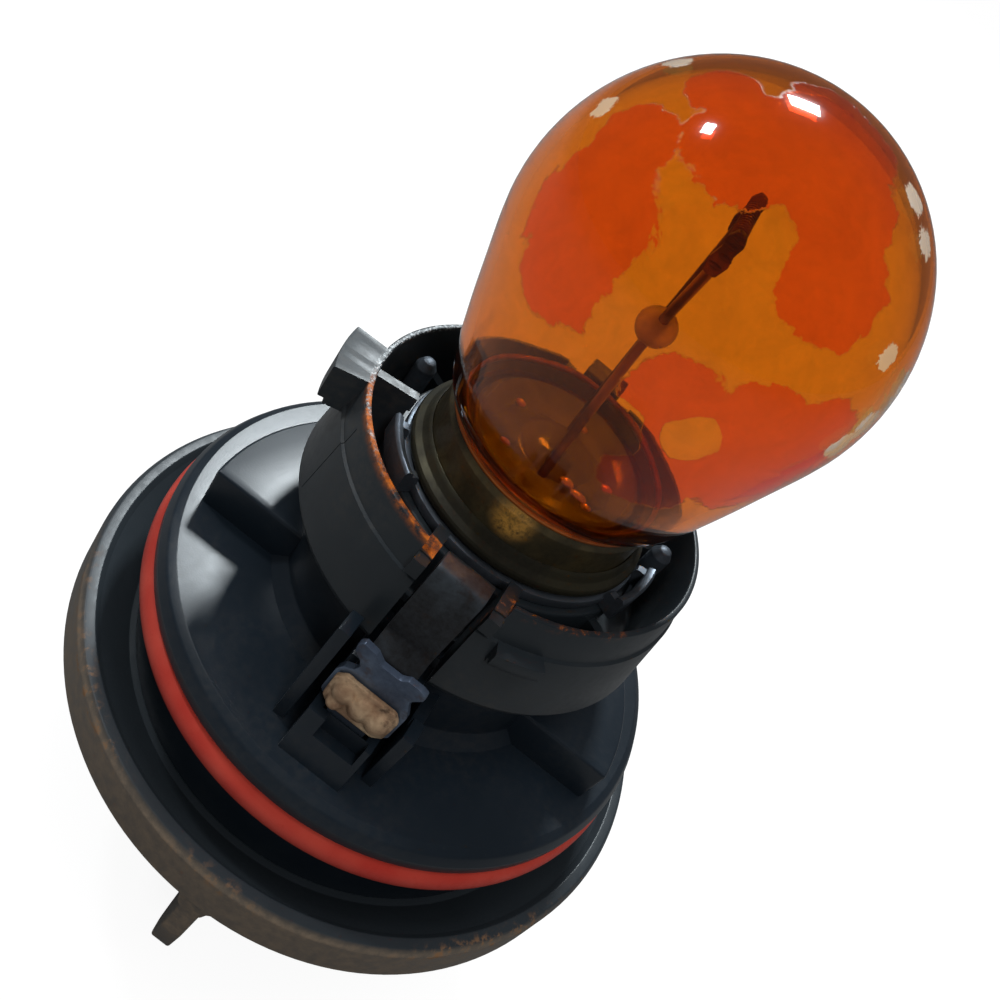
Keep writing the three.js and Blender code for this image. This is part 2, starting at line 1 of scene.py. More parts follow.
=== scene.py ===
"""Looks for an amber signal lamp on a sealed plug-in base.

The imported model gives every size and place. Each sub-assembly is a class that models its visible pieces
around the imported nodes, dresses them and hands them to the frame. Sizes written here are millimetres unless
a name says otherwise, and are turned into metres where a mesh is made.
"""

import logging
import math
from dataclasses import dataclass, field
from enum import Enum
from typing import NamedTuple, Sequence, Union

import bpy
from mathutils import Matrix, Vector


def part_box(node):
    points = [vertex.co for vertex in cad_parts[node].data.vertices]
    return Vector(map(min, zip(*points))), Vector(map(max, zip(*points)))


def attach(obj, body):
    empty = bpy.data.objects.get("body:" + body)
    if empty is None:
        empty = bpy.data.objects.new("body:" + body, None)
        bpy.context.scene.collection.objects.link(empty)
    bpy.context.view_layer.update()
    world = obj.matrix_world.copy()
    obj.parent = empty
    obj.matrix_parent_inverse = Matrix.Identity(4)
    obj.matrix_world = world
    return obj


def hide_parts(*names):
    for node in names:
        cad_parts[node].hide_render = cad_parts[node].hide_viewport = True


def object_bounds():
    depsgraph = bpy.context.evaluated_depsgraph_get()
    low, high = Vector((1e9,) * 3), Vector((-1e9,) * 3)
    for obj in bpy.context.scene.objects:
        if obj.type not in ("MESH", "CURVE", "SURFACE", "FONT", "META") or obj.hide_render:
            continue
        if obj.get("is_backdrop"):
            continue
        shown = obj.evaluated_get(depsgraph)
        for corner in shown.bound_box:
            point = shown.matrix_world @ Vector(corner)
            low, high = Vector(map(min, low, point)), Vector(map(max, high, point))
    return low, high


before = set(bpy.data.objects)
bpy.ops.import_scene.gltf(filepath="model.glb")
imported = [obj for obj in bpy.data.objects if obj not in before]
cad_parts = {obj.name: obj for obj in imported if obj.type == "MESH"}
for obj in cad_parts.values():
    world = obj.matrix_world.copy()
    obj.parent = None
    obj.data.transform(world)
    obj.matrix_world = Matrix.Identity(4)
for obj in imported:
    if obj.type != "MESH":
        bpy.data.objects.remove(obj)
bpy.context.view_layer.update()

LOG = logging.getLogger("lamp")
MM = 0.001
WELD = 1e-7
FULL_TURN = 360.0

Point2 = tuple[float, float]
Point3 = tuple[float, float, float]
Number = Union[int, float]


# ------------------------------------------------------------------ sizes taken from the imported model
def low(node: str) -> Vector:
    """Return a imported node's lowest corner in millimetres."""
    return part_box(node)[0] / MM


def high(node: str) -> Vector:
    """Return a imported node's highest corner in millimetres."""
    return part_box(node)[1] / MM


# ------------------------------------------------------------------ outlines
def rounded(corners: Sequence[tuple[float, ...]], steps: int = 4, closed: bool = True) -> list[Point2]:
    """Round the corners of an outline.

    Args:
        corners: Points as (u, v) or (u, v, fillet radius).
        steps: Pieces in each fillet's arc.
        closed: True when the last point joins the first.

    Returns:
        The outline's points with every fillet drawn as an arc.
    """
    points: list[Point2] = []
    count = len(corners)
    for index, corner in enumerate(corners):
        here = Vector(corner[:2])
        radius = corner[2] if len(corner) > 2 else 0.0
        if radius <= 0 or (not closed and index in (0, count - 1)):
            points.append((here.x, here.y))
            continue
        before = (Vector(corners[index - 1][:2]) - here).normalized()
        after = (Vector(corners[(index + 1) % count][:2]) - here).normalized()
        half = before.angle(after) / 2
        reach = radius / math.tan(half)
        centre = here + (before + after).normalized() * (radius / math.sin(half))
        start = here + before * reach - centre
        end = here + after * reach - centre
        sweep = start.angle_signed(end)
        for step in range(steps + 1):
            turn = -sweep * step / steps
            spoke = Matrix.Rotation(turn, 2) @ start
            points.append((centre.x + spoke.x, centre.y + spoke.y))
    return points


def smooth_curve(points: Sequence[Sequence[float]], pieces: int = 4) -> list[tuple[float, ...]]:
    """Pass a Catmull-Rom curve through points of any dimension.

    Args:
        points: The points that the curve goes through.
        pieces: Straight pieces between two neighbours.

    Returns:
        The finer list of points.
    """
    vectors = [Vector(point) for point in points]
    ends = [2 * vectors[0] - vectors[1], *vectors, 2 * vectors[-1] - vectors[-2]]
    fine = []
    for a, b, c, d in zip(ends, ends[1:], ends[2:], ends[3:]):
        for step in range(pieces):
            t = step / pieces
            fine.append(tuple(0.5 * (2 * b + (c - a) * t + (2 * a - 5 * b + 4 * c - d) * t * t
                                     + (3 * b - a - 3 * c + d) * t * t * t)))
    fine.append(tuple(vectors[-1]))
    return fine


def arc(radius: float, start: float, end: float, steps: int, centre: Point2 = (0.0, 0.0)) -> list[Point2]:
    """Return points along an arc, with angles in degrees."""
    angles = [math.radians(start + (end - start) * step / steps) for step in range(steps + 1)]
    return [(centre[0] + radius * math.cos(a), centre[1] + radius * math.sin(a)) for a in angles]


def offset(points: Sequence[Point2], distance: float) -> list[Point2]:
    """Move an open profile sideways, to the right of its direction for a positive distance."""
    moved = []
    for index, point in enumerate(points):
        before = Vector(points[max(index - 1, 0)])
        after = Vector(points[min(index + 1, len(points) - 1)])
        along = (after - before).normalized()
        moved.append((point[0] + along.y * distance, point[1] - along.x * distance))
    return moved


# ------------------------------------------------------------------ modelling steps
def deselect() -> None:
    """Leave object mode with nothing selected."""
    if bpy.context.object and bpy.context.object.mode != "OBJECT":
        bpy.ops.object.mode_set(mode="OBJECT")
    bpy.ops.object.select_all(action="DESELECT")


def activate(piece: bpy.types.Object) -> None:
    """Make one object the only selected and active one."""
    deselect()
    piece.select_set(True)
    bpy.context.view_layer.objects.active = piece


def settle(piece: bpy.types.Object, name: str) -> bpy.types.Object:
    """Weld a new mesh, turn its faces outwards and bake its place into its vertices."""
    activate(piece)
    bpy.ops.object.transform_apply(location=True, rotation=True, scale=True)
    bpy.ops.object.mode_set(mode="EDIT")
    bpy.ops.mesh.select_all(action="SELECT")
    bpy.ops.mesh.remove_doubles(threshold=WELD)
    bpy.ops.mesh.normals_make_consistent(inside=False)
    bpy.ops.object.mode_set(mode="OBJECT")
    piece.name = name
    piece.data.name = name
    return piece


def trace(points: Sequence[Vector], closed: bool) -> bpy.types.Object:
    """Draw a chain of edges by extruding one vertex, and stay in edit mode with all of it selected.

    Args:
        points: The chain's points in millimetres.
        closed: True to lead the chain back to its start.

    Returns:
        The new object.
    """
    deselect()
    bpy.ops.mesh.primitive_plane_add(size=MM, location=points[0] * MM)
    piece = bpy.context.object
    bpy.ops.object.transform_apply(location=True, rotation=True, scale=True)
    bpy.ops.object.mode_set(mode="EDIT")
    bpy.ops.mesh.select_all(action="SELECT")
    bpy.ops.mesh.merge(type="CENTER")
    route = [*points, points[0]] if closed else list(points)
    for here, there in zip(route, route[1:]):
        bpy.ops.mesh.extrude_vertices_move(TRANSFORM_OT_translate={"value": (there - here) * MM})
    bpy.ops.mesh.select_all(action="SELECT")
    bpy.ops.mesh.remove_doubles(threshold=WELD)
    bpy.ops.mesh.select_all(action="SELECT")
    return piece


def turned(name: str, profile: Sequence[Point2], steps: int = 96, start: float = 0.0,
           sweep: float = FULL_TURN, centre: Point2 = (0.0, 0.0)) -> bpy.types.Object:
    """Spin a closed half-section about an upright axis.

    Args:
        name: The piece's name.
        profile: Points as (radius, z); a profile may start and end on the axis.
        steps: Sides round the sweep.
        start: Angle of the first section in degrees.
        sweep: Angle covered in degrees.
        centre: Where the axis stands in X and Y.

    Returns:
        The closed piece.
    """
    heading = math.radians(start)
    cosine, sine = math.cos(heading), math.sin(heading)
    points = [Vector((centre[0] + r * cosine, centre[1] + r * sine, z)) for r, z in profile]
    on_axis = profile[0][0] == 0.0 and profile[-1][0] == 0.0
    piece = trace(points, closed=not on_axis)
    if sweep < FULL_TURN:
        bpy.ops.mesh.edge_face_add()
    bpy.ops.mesh.spin(steps=steps, angle=-math.radians(sweep), center=(centre[0] * MM, centre[1] * MM, 0.0),
                      axis=(0.0, 0.0, 1.0))
    return settle(piece, name)


class Plane(Enum):
    """The plane that an outline is drawn in, and the way it is extruded."""

    XY = (Vector((1, 0, 0)), Vector((0, 1, 0)), Vector((0, 0, 1)))
    XZ = (Vector((1, 0, 0)), Vector((0, 0, 1)), Vector((0, 1, 0)))
    YZ = (Vector((0, 1, 0)), Vector((0, 0, 1)), Vector((1, 0, 0)))


def prism(name: str, plane: Plane, outline: Sequence[Point2], start: float,
          end: float) -> bpy.types.Object:
    """Extrude a closed outline square to its plane.

    Args:
        name: The piece's name.
        plane: The outline's plane.
        outline: The outline's points.
        start: Where the solid starts along the plane's normal.
        end: Where it ends.

    Returns:
        The closed piece.
    """
    u, v, w = plane.value
    piece = trace([u * a + v * b + w * start for a, b in outline], closed=True)
    bpy.ops.mesh.edge_face_add()
    bpy.ops.mesh.extrude_region_move(TRANSFORM_OT_translate={"value": w * (end - start) * MM})
    return settle(piece, name)


def block(name: str, corner: Point3, opposite: Point3) -> bpy.types.Object:
    """Add a box between two corners."""
    deselect()
    centre = (Vector(corner) + Vector(opposite)) / 2
    bpy.ops.mesh.primitive_cube_add(size=1.0, location=centre * MM)
    piece = bpy.context.object
    piece.scale = (Vector(opposite) - Vector(corner)) * MM
    return settle(piece, name)


def tube(name: str, points: Sequence[Sequence[float]], radius: float, sides: int = 3) -> bpy.types.Object:
    """Lay a round wire along points.

    Args:
        name: The piece's name.
        points: The wire's route.
        radius: The wire's radius.
        sides: Bevel resolution of the round section.

    Returns:
        The wire as a closed mesh.
    """
    deselect()
    bpy.ops.curve.primitive_bezier_curve_add()
    piece = bpy.context.object
    curve = piece.data
    curve.splines.clear()
    spline = curve.splines.new("POLY")
    spline.points.add(len(points) - 1)
    for index, point in enumerate(points):
        spline.points[index].co = (*(Vector(point) * MM), 1.0)
    curve.bevel_depth = radius * MM
    curve.bevel_resolution = sides
    curve.use_fill_caps = True
    bpy.ops.object.convert(target="MESH")
    return settle(bpy.context.object, name)


def ball(name: str, centre: Point3, radii: Point3, segments: int = 32) -> bpy.types.Object:
    """Add an ellipsoid."""
    deselect()
    bpy.ops.mesh.primitive_uv_sphere_add(segments=segments, ring_count=segments // 2, radius=MM,
                                         location=Vector(centre) * MM)
    piece = bpy.context.object
    piece.scale = radii
    return settle(piece, name)


def apply_modifier(piece: bpy.types.Object, kind: str, **settings: object) -> None:
    """Add a modifier, set it and apply it."""
    activate(piece)
    modifier = piece.modifiers.new(kind.title(), kind)
    for key, value in settings.items():
        setattr(modifier, key, value)
    bpy.ops.object.modifier_apply(modifier=modifier.name)


def fuse(piece: bpy.types.Object, *others: bpy.types.Object, solver: str = "MANIFOLD") -> bpy.types.Object:
    """Join other closed pieces to a piece; the exact solver suits flush sheet metal that is bevelled later."""
    for other in others:
        apply_modifier(piece, "BOOLEAN", operation="UNION", object=other, solver=solver)
        bpy.data.objects.remove(other)
    return piece


def cut(piece: bpy.types.Object, *tools: bpy.types.Object) -> bpy.types.Object:
    """Cut the shapes of other closed pieces out of a piece."""
    for tool in tools:
        apply_modifier(piece, "BOOLEAN", operation="DIFFERENCE", object=tool, solver="MANIFOLD")
        bpy.data.objects.remove(tool)
    return piece


def soften(piece: bpy.types.Object, width: float, segments: int = 2,
           angle: float = 35.0) -> bpy.types.Object:
    """Bevel a piece's sharp edges."""
    apply_modifier(piece, "BEVEL", width=width * MM, segments=segments, limit_method="ANGLE",
                   angle_limit=math.radians(angle), miter_outer="MITER_ARC", harden_normals=False,
                   use_clamp_overlap=True)
    return piece


def turn_round(degrees: float, *pieces: bpy.types.Object) -> None:
    """Turn pieces about the lamp's axis."""
    for piece in pieces:
        piece.data.transform(Matrix.Rotation(math.radians(degrees), 4, "Z"))


# ------------------------------------------------------------------ shader maths
class Value:
    """A number in a shader tree; arithmetic on it adds Math nodes."""

    def __init__(self, book: "NodeBook", socket: bpy.types.NodeSocket) -> None:
        """Keep the tree's book and the socket that the number comes from."""
        self.book = book
        self.socket = socket

    def _math(self, operation: str, first: "Value | Number", second: "Value | Number" = 0.0,
              clamp: bool = False) -> "Value":
        """Add one Math node."""
        return self.book.node("ShaderNodeMath", {"operation": operation, "use_clamp": clamp},
                              {0: first, 1: second}).value()

    def __add__(self, other: "Value | Number") -> "Value":
        """Add."""
        return self._math("ADD", self, other)

    def __sub__(self, other: "Value | Number") -> "Value":
        """Subtract."""
        return self._math("SUBTRACT", self, other)

    def __rsub__(self, other: Number) -> "Value":
        """Subtract from a number."""
        return self._math("SUBTRACT", other, self)

    def __mul__(self, other: "Value | Number") -> "Value":
        """Multiply."""
        return self._math("MULTIPLY", self, other)

    def __truediv__(self, other: "Value | Number") -> "Value":
        """Divide."""
        return self._math("DIVIDE", self, other)

    def __pow__(self, other: Number) -> "Value":
        """Raise to a power."""
        return self._math("POWER", self, other)

    __radd__ = __add__
    __rmul__ = __mul__

    def band(self, start: float, end: float) -> "Value":
        """Rise smoothly from 0 at start to 1 at end."""
        node = self.book.node("ShaderNodeMapRange", {"interpolation_type": "SMOOTHSTEP"},
                              {"Value": self, "From Min": start, "From Max": end})
        return node.value("Result")

    def within(self, start: float, end: float, edge: float) -> "Value":
        """Be 1 between two numbers and fall to 0 over a soft edge outside them."""
        return self.band(start - edge, start) * (1 - self.band(end, end + edge))

    def greatest(self, other: "Value | Number") -> "Value":
        """Take the larger of two numbers."""
        return self._math("MAXIMUM", self, other)

    def clamped(self) -> "Value":
        """Keep the number between 0 and 1."""
        return self._math("ADD", self, 0.0, clamp=True)


@dataclass
class Placed:
    """A node that has been added to a tree."""

    book: "NodeBook"
    node: bpy.types.Node

    def value(self, output: str | int = 0) -> Value:
        """Return one of the node's outputs as a number."""
        return Value(self.book, self.node.outputs[output])

    def link(self, output: str | int = 0) -> bpy.types.NodeSocket:
        """Return one of the node's outputs."""
        return self.node.outputs[output]


Colour = tuple[float, float, float]


def srgb(red: Number, green: Number, blue: Number) -> Colour:
    """Turn display values from 0 to 255 into linear ones."""
    def linear(value: float) -> float:
        """Turn one display value into a linear one."""
        share = value / 255
        return share / 12.92 if share <= 0.04045 else ((share + 0.055) / 1.055) ** 2.4
    return linear(red), linear(green), linear(blue)


class NodeBook:
    """One material's node tree with short ways to add nodes."""

    def __init__(self, name: str) -> None:
        """Start an empty tree with the place on the object as numbers in millimetres."""
        self.material = bpy.data.materials.new(name)
        self.material.use_nodes = True
        self.tree = self.material.node_tree
        self.tree.nodes.clear()
        self.place = self.node("ShaderNodeTexCoord").link("Object")
        split = self.node("ShaderNodeSeparateXYZ", inputs={0: self.place})
        self.x = split.value(0) / MM
        self.y = split.value(1) / MM
        self.z = split.value(2) / MM
        self.radius = (self.x ** 2 + self.y ** 2) ** 0.5

    def node(self, kind: str, settings: dict[str, object] | None = None,
             inputs: dict[str | int, object] | None = None) -> Placed:
        """Add a node.

        Args:
            kind: The node's type.
            settings: Properties of the node.
            inputs: Values or links for its sockets.

        Returns:
            The placed node.
        """
        node = self.tree.nodes.new(kind)
        for key, value in (settings or {}).items():
            setattr(node, key, value)
        for key, value in (inputs or {}).items():
            socket = node.inputs[key]
            if isinstance(value, Value):
                self.tree.links.new(value.socket, socket)
            elif isinstance(value, bpy.types.NodeSocket):
                self.tree.links.new(value, socket)
            elif isinstance(value, tuple) and socket.type == "RGBA":
                socket.default_value = (*value, 1.0)
            else:
                socket.default_value = value
        return Placed(self, node)

    def noise(self, per_mm: float, detail: float = 4.0, rough: float = 0.55, warp: float = 0.0,
              seed: float = 0.0) -> Value:
        """Return fractal noise from 0 to 1 with a scale in features per millimetre."""
        return self.node("ShaderNodeTexNoise", {"noise_dimensions": "4D"},
                         {"Vector": self.place, "W": seed, "Scale": per_mm / MM, "Detail": detail,
                          "Roughness": rough, "Distortion": warp}).value("Fac")

    def cells(self, per_mm: float, seed: float = 0.0) -> Value:
        """Return the distance to the nearest cell's centre, with a scale in cells per millimetre."""
        return self.node("ShaderNodeTexVoronoi", {"voronoi_dimensions": "4D"},
                         {"Vector": self.place, "W": seed, "Scale": per_mm / MM}).value("Distance")

    def distance(self, *centre: float) -> Value:
        """Return the distance in metres from a point given in millimetres."""
        point = tuple(part * MM for part in centre)
        return self.node("ShaderNodeVectorMath", {"operation": "DISTANCE"},
                         {0: self.place, 1: point}).value("Value")

    def mix(self, share: Value | Number, first: object, second: object) -> bpy.types.NodeSocket:
        """Mix two colours."""
        return self.node("ShaderNodeMix", {"data_type": "RGBA"},
                         {0: share, 6: first, 7: second}).link(2)

    def bump(self, height: Value, depth_mm: float, strength: float = 1.0) -> bpy.types.NodeSocket:
        """Return a normal bent by a height from 0 to 1."""
        return self.node("ShaderNodeBump", inputs={"Height": height, "Distance": depth_mm * MM,
                                                   "Strength": strength}).link("Normal")

    def blend(self, share: Value | bpy.types.NodeSocket, first: Placed, second: Placed) -> Placed:
        """Mix two shaders."""
        return self.node("ShaderNodeMixShader", inputs={0: share, 1: first.link(), 2: second.link()})

    def surface(self, **inputs: object) -> Placed:
        """Add a Principled shader; underscores in names stand for spaces."""
        return self.node("ShaderNodeBsdfPrincipled",
                         inputs={key.replace("_", " "): value for key, value in inputs.items()})

    def output(self, shader: Placed) -> bpy.types.Material:
        """Connect the shader to the material's output."""
        self.node("ShaderNodeOutputMaterial", inputs={"Surface": shader.link()})
        return self.material


# ------------------------------------------------------------------ finishes
@dataclass(frozen=True)
class MouldedPlastic:
    """Near-black moulded plastic with a fine grain, dust, optional rust, and near-white specks along the rim's
    top edge that are partly wear and partly painted glints.
    """

    name: str
    base: Colour = srgb(26, 32, 37)
    dust: Colour = srgb(92, 84, 74)
    dust_share: float = 0.25
    roughness: float = 0.3
    unevenness: float = 0.08
    rust: tuple[float, float, float, float] | None = None

    def make(self) -> bpy.types.Material:
        """Build the material."""
        book = NodeBook(self.name)
        broad = book.noise(0.12, 3.0, seed=1.0)
        fine = book.noise(2.2, 5.0, 0.65, seed=2.0)
        grain = book.noise(9.0, 2.0, 0.6, seed=3.0)
        specks = (1 - book.cells(1.6, seed=4.0)).band(0.86, 0.97)
        settled = (broad.band(0.4, 0.75) * fine.band(0.35, 0.75)) * self.dust_share
        colour = book.mix(broad.band(0.3, 0.75), self.base, tuple(part * 1.35 for part in self.base))
        colour = book.mix(settled.clamped(), colour, self.dust)
        colour = book.mix(specks * fine.band(0.5, 0.7) * 0.35, colour, srgb(120, 116, 108))
        rough = self.roughness + fine.band(0.3, 0.8) * self.unevenness + settled * 0.35
        if self.rust is not None:
            inner, outer, bottom, top = self.rust
            ring = book.radius.within(inner, outer, 0.12) * book.z.within(bottom, top, 0.15)
            crumbs = book.noise(1.3, 7.0, 0.8, seed=8.0)
            front = (0 - book.y).band(2.0, 4.5)
            left = book.x.within(-9.2, -1.8, 0.8) * front * crumbs.band(0.4, 0.56)
            right = book.x.within(1.8, 7.0, 0.8) * front * crumbs.band(0.52, 0.62) * 0.8
            rusty = ring * (left + right)
            rust = book.mix(fine.band(0.3, 0.7), srgb(206, 112, 34), srgb(128, 62, 24))
            colour = book.mix(rusty.clamped(), colour, rust)
            # Painted glints, partly edge wear: near-white specks along the top of the rim on the left side.
            glints_and_wear = ring * book.z.band(top - 0.35, top - 0.1) * (0 - book.x).band(4.0, 8.0)
            glints_and_wear = glints_and_wear * book.noise(5.0, 3.0, 0.7, seed=9.0).band(0.5, 0.58) * (1 - rusty.clamped())
            colour = book.mix((glints_and_wear * 0.6).clamped(), colour, srgb(196, 202, 204))
            rough = rough + rusty * 0.4
        normal = book.bump(grain * 0.85 + fine * 0.15, 0.01, 0.4)
        return book.output(book.surface(Base_Color=colour, Roughness=rough.clamped(), Normal=normal,
                                        IOR=1.5, Specular_IOR_Level=0.4))


@dataclass(frozen=True)
class FlangePlastic:
    """The rear housing's plastic, dusty brown along the flange's edge and greyer inside."""

    name: str
    rim_radius: float
    rim_top: float
    rim_foot: float
    base: Colour = srgb(34, 39, 43)
    soil: Colour = srgb(128, 112, 94)

    def make(self) -> bpy.types.Material:
        """Build the material."""
        book = NodeBook(self.name)
        broad = book.noise(0.1, 3.0, seed=11.0)
        fine = book.noise(1.6, 6.0, 0.7, seed=12.0)
        grain = book.noise(8.0, 2.0, 0.6, seed=13.0)
        edge = book.radius.band(self.rim_radius - 0.9, self.rim_radius - 0.1)
        upper = book.z.within(self.rim_top - 0.5, self.rim_top + 0.2, 0.4)
        front = (0 - book.y).band(4.0, 13.0)
        scuffs = edge * upper * fine.band(0.5, 0.62) * broad.band(0.45, 0.6) * front
        outside = book.radius.band(self.rim_radius - 0.35, self.rim_radius - 0.05)
        outside = outside * (0.35 + fine.band(0.3, 0.7) * 0.4)
        below = (0 - book.z).band(-self.rim_foot - 0.4, -self.rim_foot + 0.2)
        below = below * (0.3 + fine.band(0.35, 0.7) * 0.45)
        soiled = (outside * front + below * 0.8).clamped()
        colour = book.mix(broad.band(0.3, 0.75), self.base, tuple(part * 1.4 for part in self.base))
        colour = book.mix(soiled, colour, self.soil)
        colour = book.mix(scuffs.clamped(), colour, srgb(124, 92, 64))
        rough = 0.4 + fine.band(0.3, 0.8) * 0.12 + soiled * 0.2 + scuffs * 0.2
        normal = book.bump(grain * 0.35 + fine * 0.65, 0.02, 0.55)
        return book.output(book.surface(Base_Color=colour, Roughness=rough.clamped(), Normal=normal,
                                        IOR=1.5, Specular_IOR_Level=0.4))


@dataclass(frozen=True)
class SealRubber:
    """Brick-red sealing rubber, a little dusty, with a matt bloom."""

    name: str
    base: Colour = srgb(170, 48, 38)

    def make(self) -> bpy.types.Material:
        """Build the material."""
        book = NodeBook(self.name)
        broad = book.noise(0.25, 3.0, seed=21.0)
        fine = book.noise(3.0, 5.0, 0.7, seed=22.0)
        colour = book.mix(broad.band(0.3, 0.75), self.base, srgb(186, 70, 56))
        colour = book.mix(fine.band(0.55, 0.75) * 0.3, colour, srgb(140, 34, 28))
        rough = 0.5 + fine.band(0.3, 0.7) * 0.15
        normal = book.bump(fine, 0.02, 0.4)
        return book.output(book.surface(Base_Color=colour, Roughness=rough.clamped(), Normal=normal,
                                        IOR=1.45))


class LacquerPatch(NamedTuple):
    """A spot on the glass: its centre and its reach."""

    x: float
    y: float
    z: float
    reach: float


def spots(*numbers: float) -> tuple[LacquerPatch, ...]:
    """Group numbers by four into spots on the glass."""
    return tuple(LacquerPatch(*numbers[at:at + 4]) for at in range(0, len(numbers), 4))


@dataclass(frozen=True)
class LacqueredGlass:
    """Clear glass under an amber lacquer that has flaked in patches and bared chips of plain glass."""

    name: str
    amber: Colour = (0.64, 0.145, 0.002)
    deep: Colour = (0.68, 0.03, 0.0003)
    flake: Colour = srgb(250, 238, 224)
    patches: tuple[LacquerPatch, ...] = spots(
        -5.4, -6.9, 21.7, 2.9, -4.9, -7.7, 19.8, 2.3, -5.8, -5.5, 24.1, 1.9,
        -2.4, -5.2, 26.6, 2.6, 0.0, -3.3, 28.0, 2.9, 1.6, -4.9, 27.0, 2.6,
        3.1, -6.4, 25.2, 2.4, -4.3, -3.2, 26.9, 1.5, 1.4, -9.1, 18.8, 2.2,
        4.2, -8.3, 19.7, 2.1, 6.5, -6.7, 19.9, 2.2, 4.3, -7.8, 16.7, 2.1,
        1.4, -8.9, 17.0, 1.8, 6.2, -6.3, 17.2, 2.8, 2.9, -8.1, 15.0, 2.1)
    bare: tuple[LacquerPatch, ...] = spots(2.8, -8.9, 17.9, 1.5, 0.5, -8.8, 16.4, 1.6)
    chipped: tuple[LacquerPatch, ...] = spots(
        3.7, -1.5, 27.7, 0.9, 5.2, -1.9, 27.0, 1.0, 6.6, -4.9, 23.8, 0.8,
        8.2, -4.3, 20.8, 1.2, 7.9, -4.9, 19.7, 1.1, 8.8, -2.2, 22.0, 1.6,
        8.1, -3.4, 16.6, 1.4, -7.7, -3.1, 23.7, 0.9, -6.6, -0.6, 25.9, 0.9)

    def near(self, book: NodeBook, spot: LacquerPatch) -> Value:
        """Return 1 at a spot's centre and 0 at its reach."""
        return 1 - book.distance(spot.x, spot.y, spot.z) / (spot.reach * MM)

    def nearest(self, book: NodeBook, group: Sequence[LacquerPatch]) -> Value:
        """Return how near the closest spot of a group is."""
        found = self.near(book, group[0])
        for spot in group[1:]:
            found = found.greatest(self.near(book, spot))
        return found

    def make(self) -> bpy.types.Material:
        """Build the material."""
        book = NodeBook(self.name)
        whole = self.nearest(book, self.patches)
        for spot in self.bare:
            whole = whole - self.near(book, spot).greatest(0.0) * 2.2
        ragged = book.noise(0.3, 10.0, 0.7, 0.4, seed=32.0)
        edge = whole + (ragged - 0.5) * 1.5
        lacquer = edge.band(0.0, 0.02)
        rim = edge.within(-0.015, 0.01, 0.015)
        marbling = book.noise(0.35, 5.0, 0.7, 1.8, seed=33.0)
        amber = book.mix(marbling.band(0.35, 0.7), self.amber, tuple(part * 0.82 for part in self.amber))
        deep = book.mix(marbling.band(0.3, 0.7), self.deep, tuple(part * 0.88 for part in self.deep))
        tint = book.mix(lacquer, amber, deep)
        streak = book.noise(2.4, 4.0, 0.8, 2.5, seed=34.0)
        clear_glass = book.surface(Base_Color=tint, Roughness=0.02 + rim * 0.25, IOR=1.45,
                                   Transmission_Weight=1.0, Specular_IOR_Level=0.35,
                                   Normal=book.bump(lacquer + streak * 0.05, 0.02, 0.3))
        russet = book.mix(marbling.band(0.3, 0.7), srgb(196, 66, 0), srgb(170, 46, 0))
        film = book.surface(Base_Color=russet, Roughness=0.12, IOR=1.45)
        cloudy = 0.02 + lacquer * 0.1 + rim * 0.1
        lacquered = book.blend(cloudy.clamped(), clear_glass, film)
        chipped = self.nearest(book, self.chipped)
        torn = book.noise(0.6, 9.0, 0.8, 0.8, seed=35.0)
        chips = (chipped.greatest(-0.6) + (torn - 0.5) * 2.4).band(0.3, 0.34)
        plain = book.surface(Base_Color=self.flake, Roughness=0.2, IOR=1.45, Transmission_Weight=0.65)
        return book.output(book.blend(chips, lacquered, plain))


@dataclass(frozen=True)
class PlainGlass:
    """Pressed clear glass with a slight tint."""

    name: str
    tint: Colour = (0.92, 0.86, 0.78)
    clearness: float = 0.85

    def make(self) -> bpy.types.Material:
        """Build the material."""
        book = NodeBook(self.name)
        cloud = book.noise(1.2, 4.0, seed=41.0)
        colour = book.mix(cloud.band(0.3, 0.75), self.tint, tuple(part * (0.4 + self.clearness * 0.55)
                                                                  for part in self.tint))
        return book.output(book.surface(Base_Color=colour, Roughness=(1 - self.clearness) * (0.5 + cloud),
                                        IOR=1.45, Transmission_Weight=self.clearness,
                                        Normal=book.bump(cloud, 0.02 * (1 - self.clearness), 0.4)))


@dataclass(frozen=True)
class Metal:
    """Worked metal with a tarnish, stains and pits, and where given a painted highlight spot."""

    name: str
    bright: Colour
    tarnish: Colour
    roughness: float = 0.3
    tarnish_share: float = 0.5
    pits: float = 0.02
    stain: Colour | None = None
    metallic: float = 1.0
    # A painted highlight spot as (x, y, z, reach) in millimetres, or None.
    gold_highlight_spot: tuple[float, float, float, float] | None = None

    def make(self) -> bpy.types.Material:
        """Build the material."""
        book = NodeBook(self.name)
        broad = book.noise(0.3, 4.0, 0.6, 0.3, seed=51.0)
        fine = book.noise(3.5, 6.0, 0.7, seed=52.0)
        tarnished = (broad.band(0.55 - self.tarnish_share * 0.4, 0.75 - self.tarnish_share * 0.3)
                     * (0.55 + fine * 0.6)).clamped()
        colour = book.mix(tarnished, self.bright, self.tarnish)
        if self.stain is not None:
            stained = book.noise(0.8, 5.0, 0.7, seed=53.0).band(0.52, 0.68) * 0.7
            colour = book.mix(stained, colour, self.stain)
        rough = self.roughness + tarnished * 0.18 + fine.band(0.4, 0.8) * 0.12
        metal = self.metallic - tarnished * 0.35 * self.metallic
        if self.gold_highlight_spot is not None:
            # Painted highlight: a bright gold spot round the given point, with less metal and lower roughness,
            # stands in for a highlight.
            *centre, reach = self.gold_highlight_spot
            painted_gold_highlight = (1 - book.distance(*centre) / (reach * MM)).band(0.0, 0.7)
            painted_gold_highlight = (painted_gold_highlight * fine.band(0.25, 0.6)).clamped()
            colour = book.mix(painted_gold_highlight, colour, srgb(214, 158, 74))
            metal = metal - painted_gold_highlight * 0.5
            rough = rough - painted_gold_highlight * 0.15
        normal = book.bump(fine, self.pits, 0.6)
        return book.output(book.surface(Base_Color=colour, Roughness=rough.clamped(),
                                        Metallic=metal.clamped(), Normal=normal))


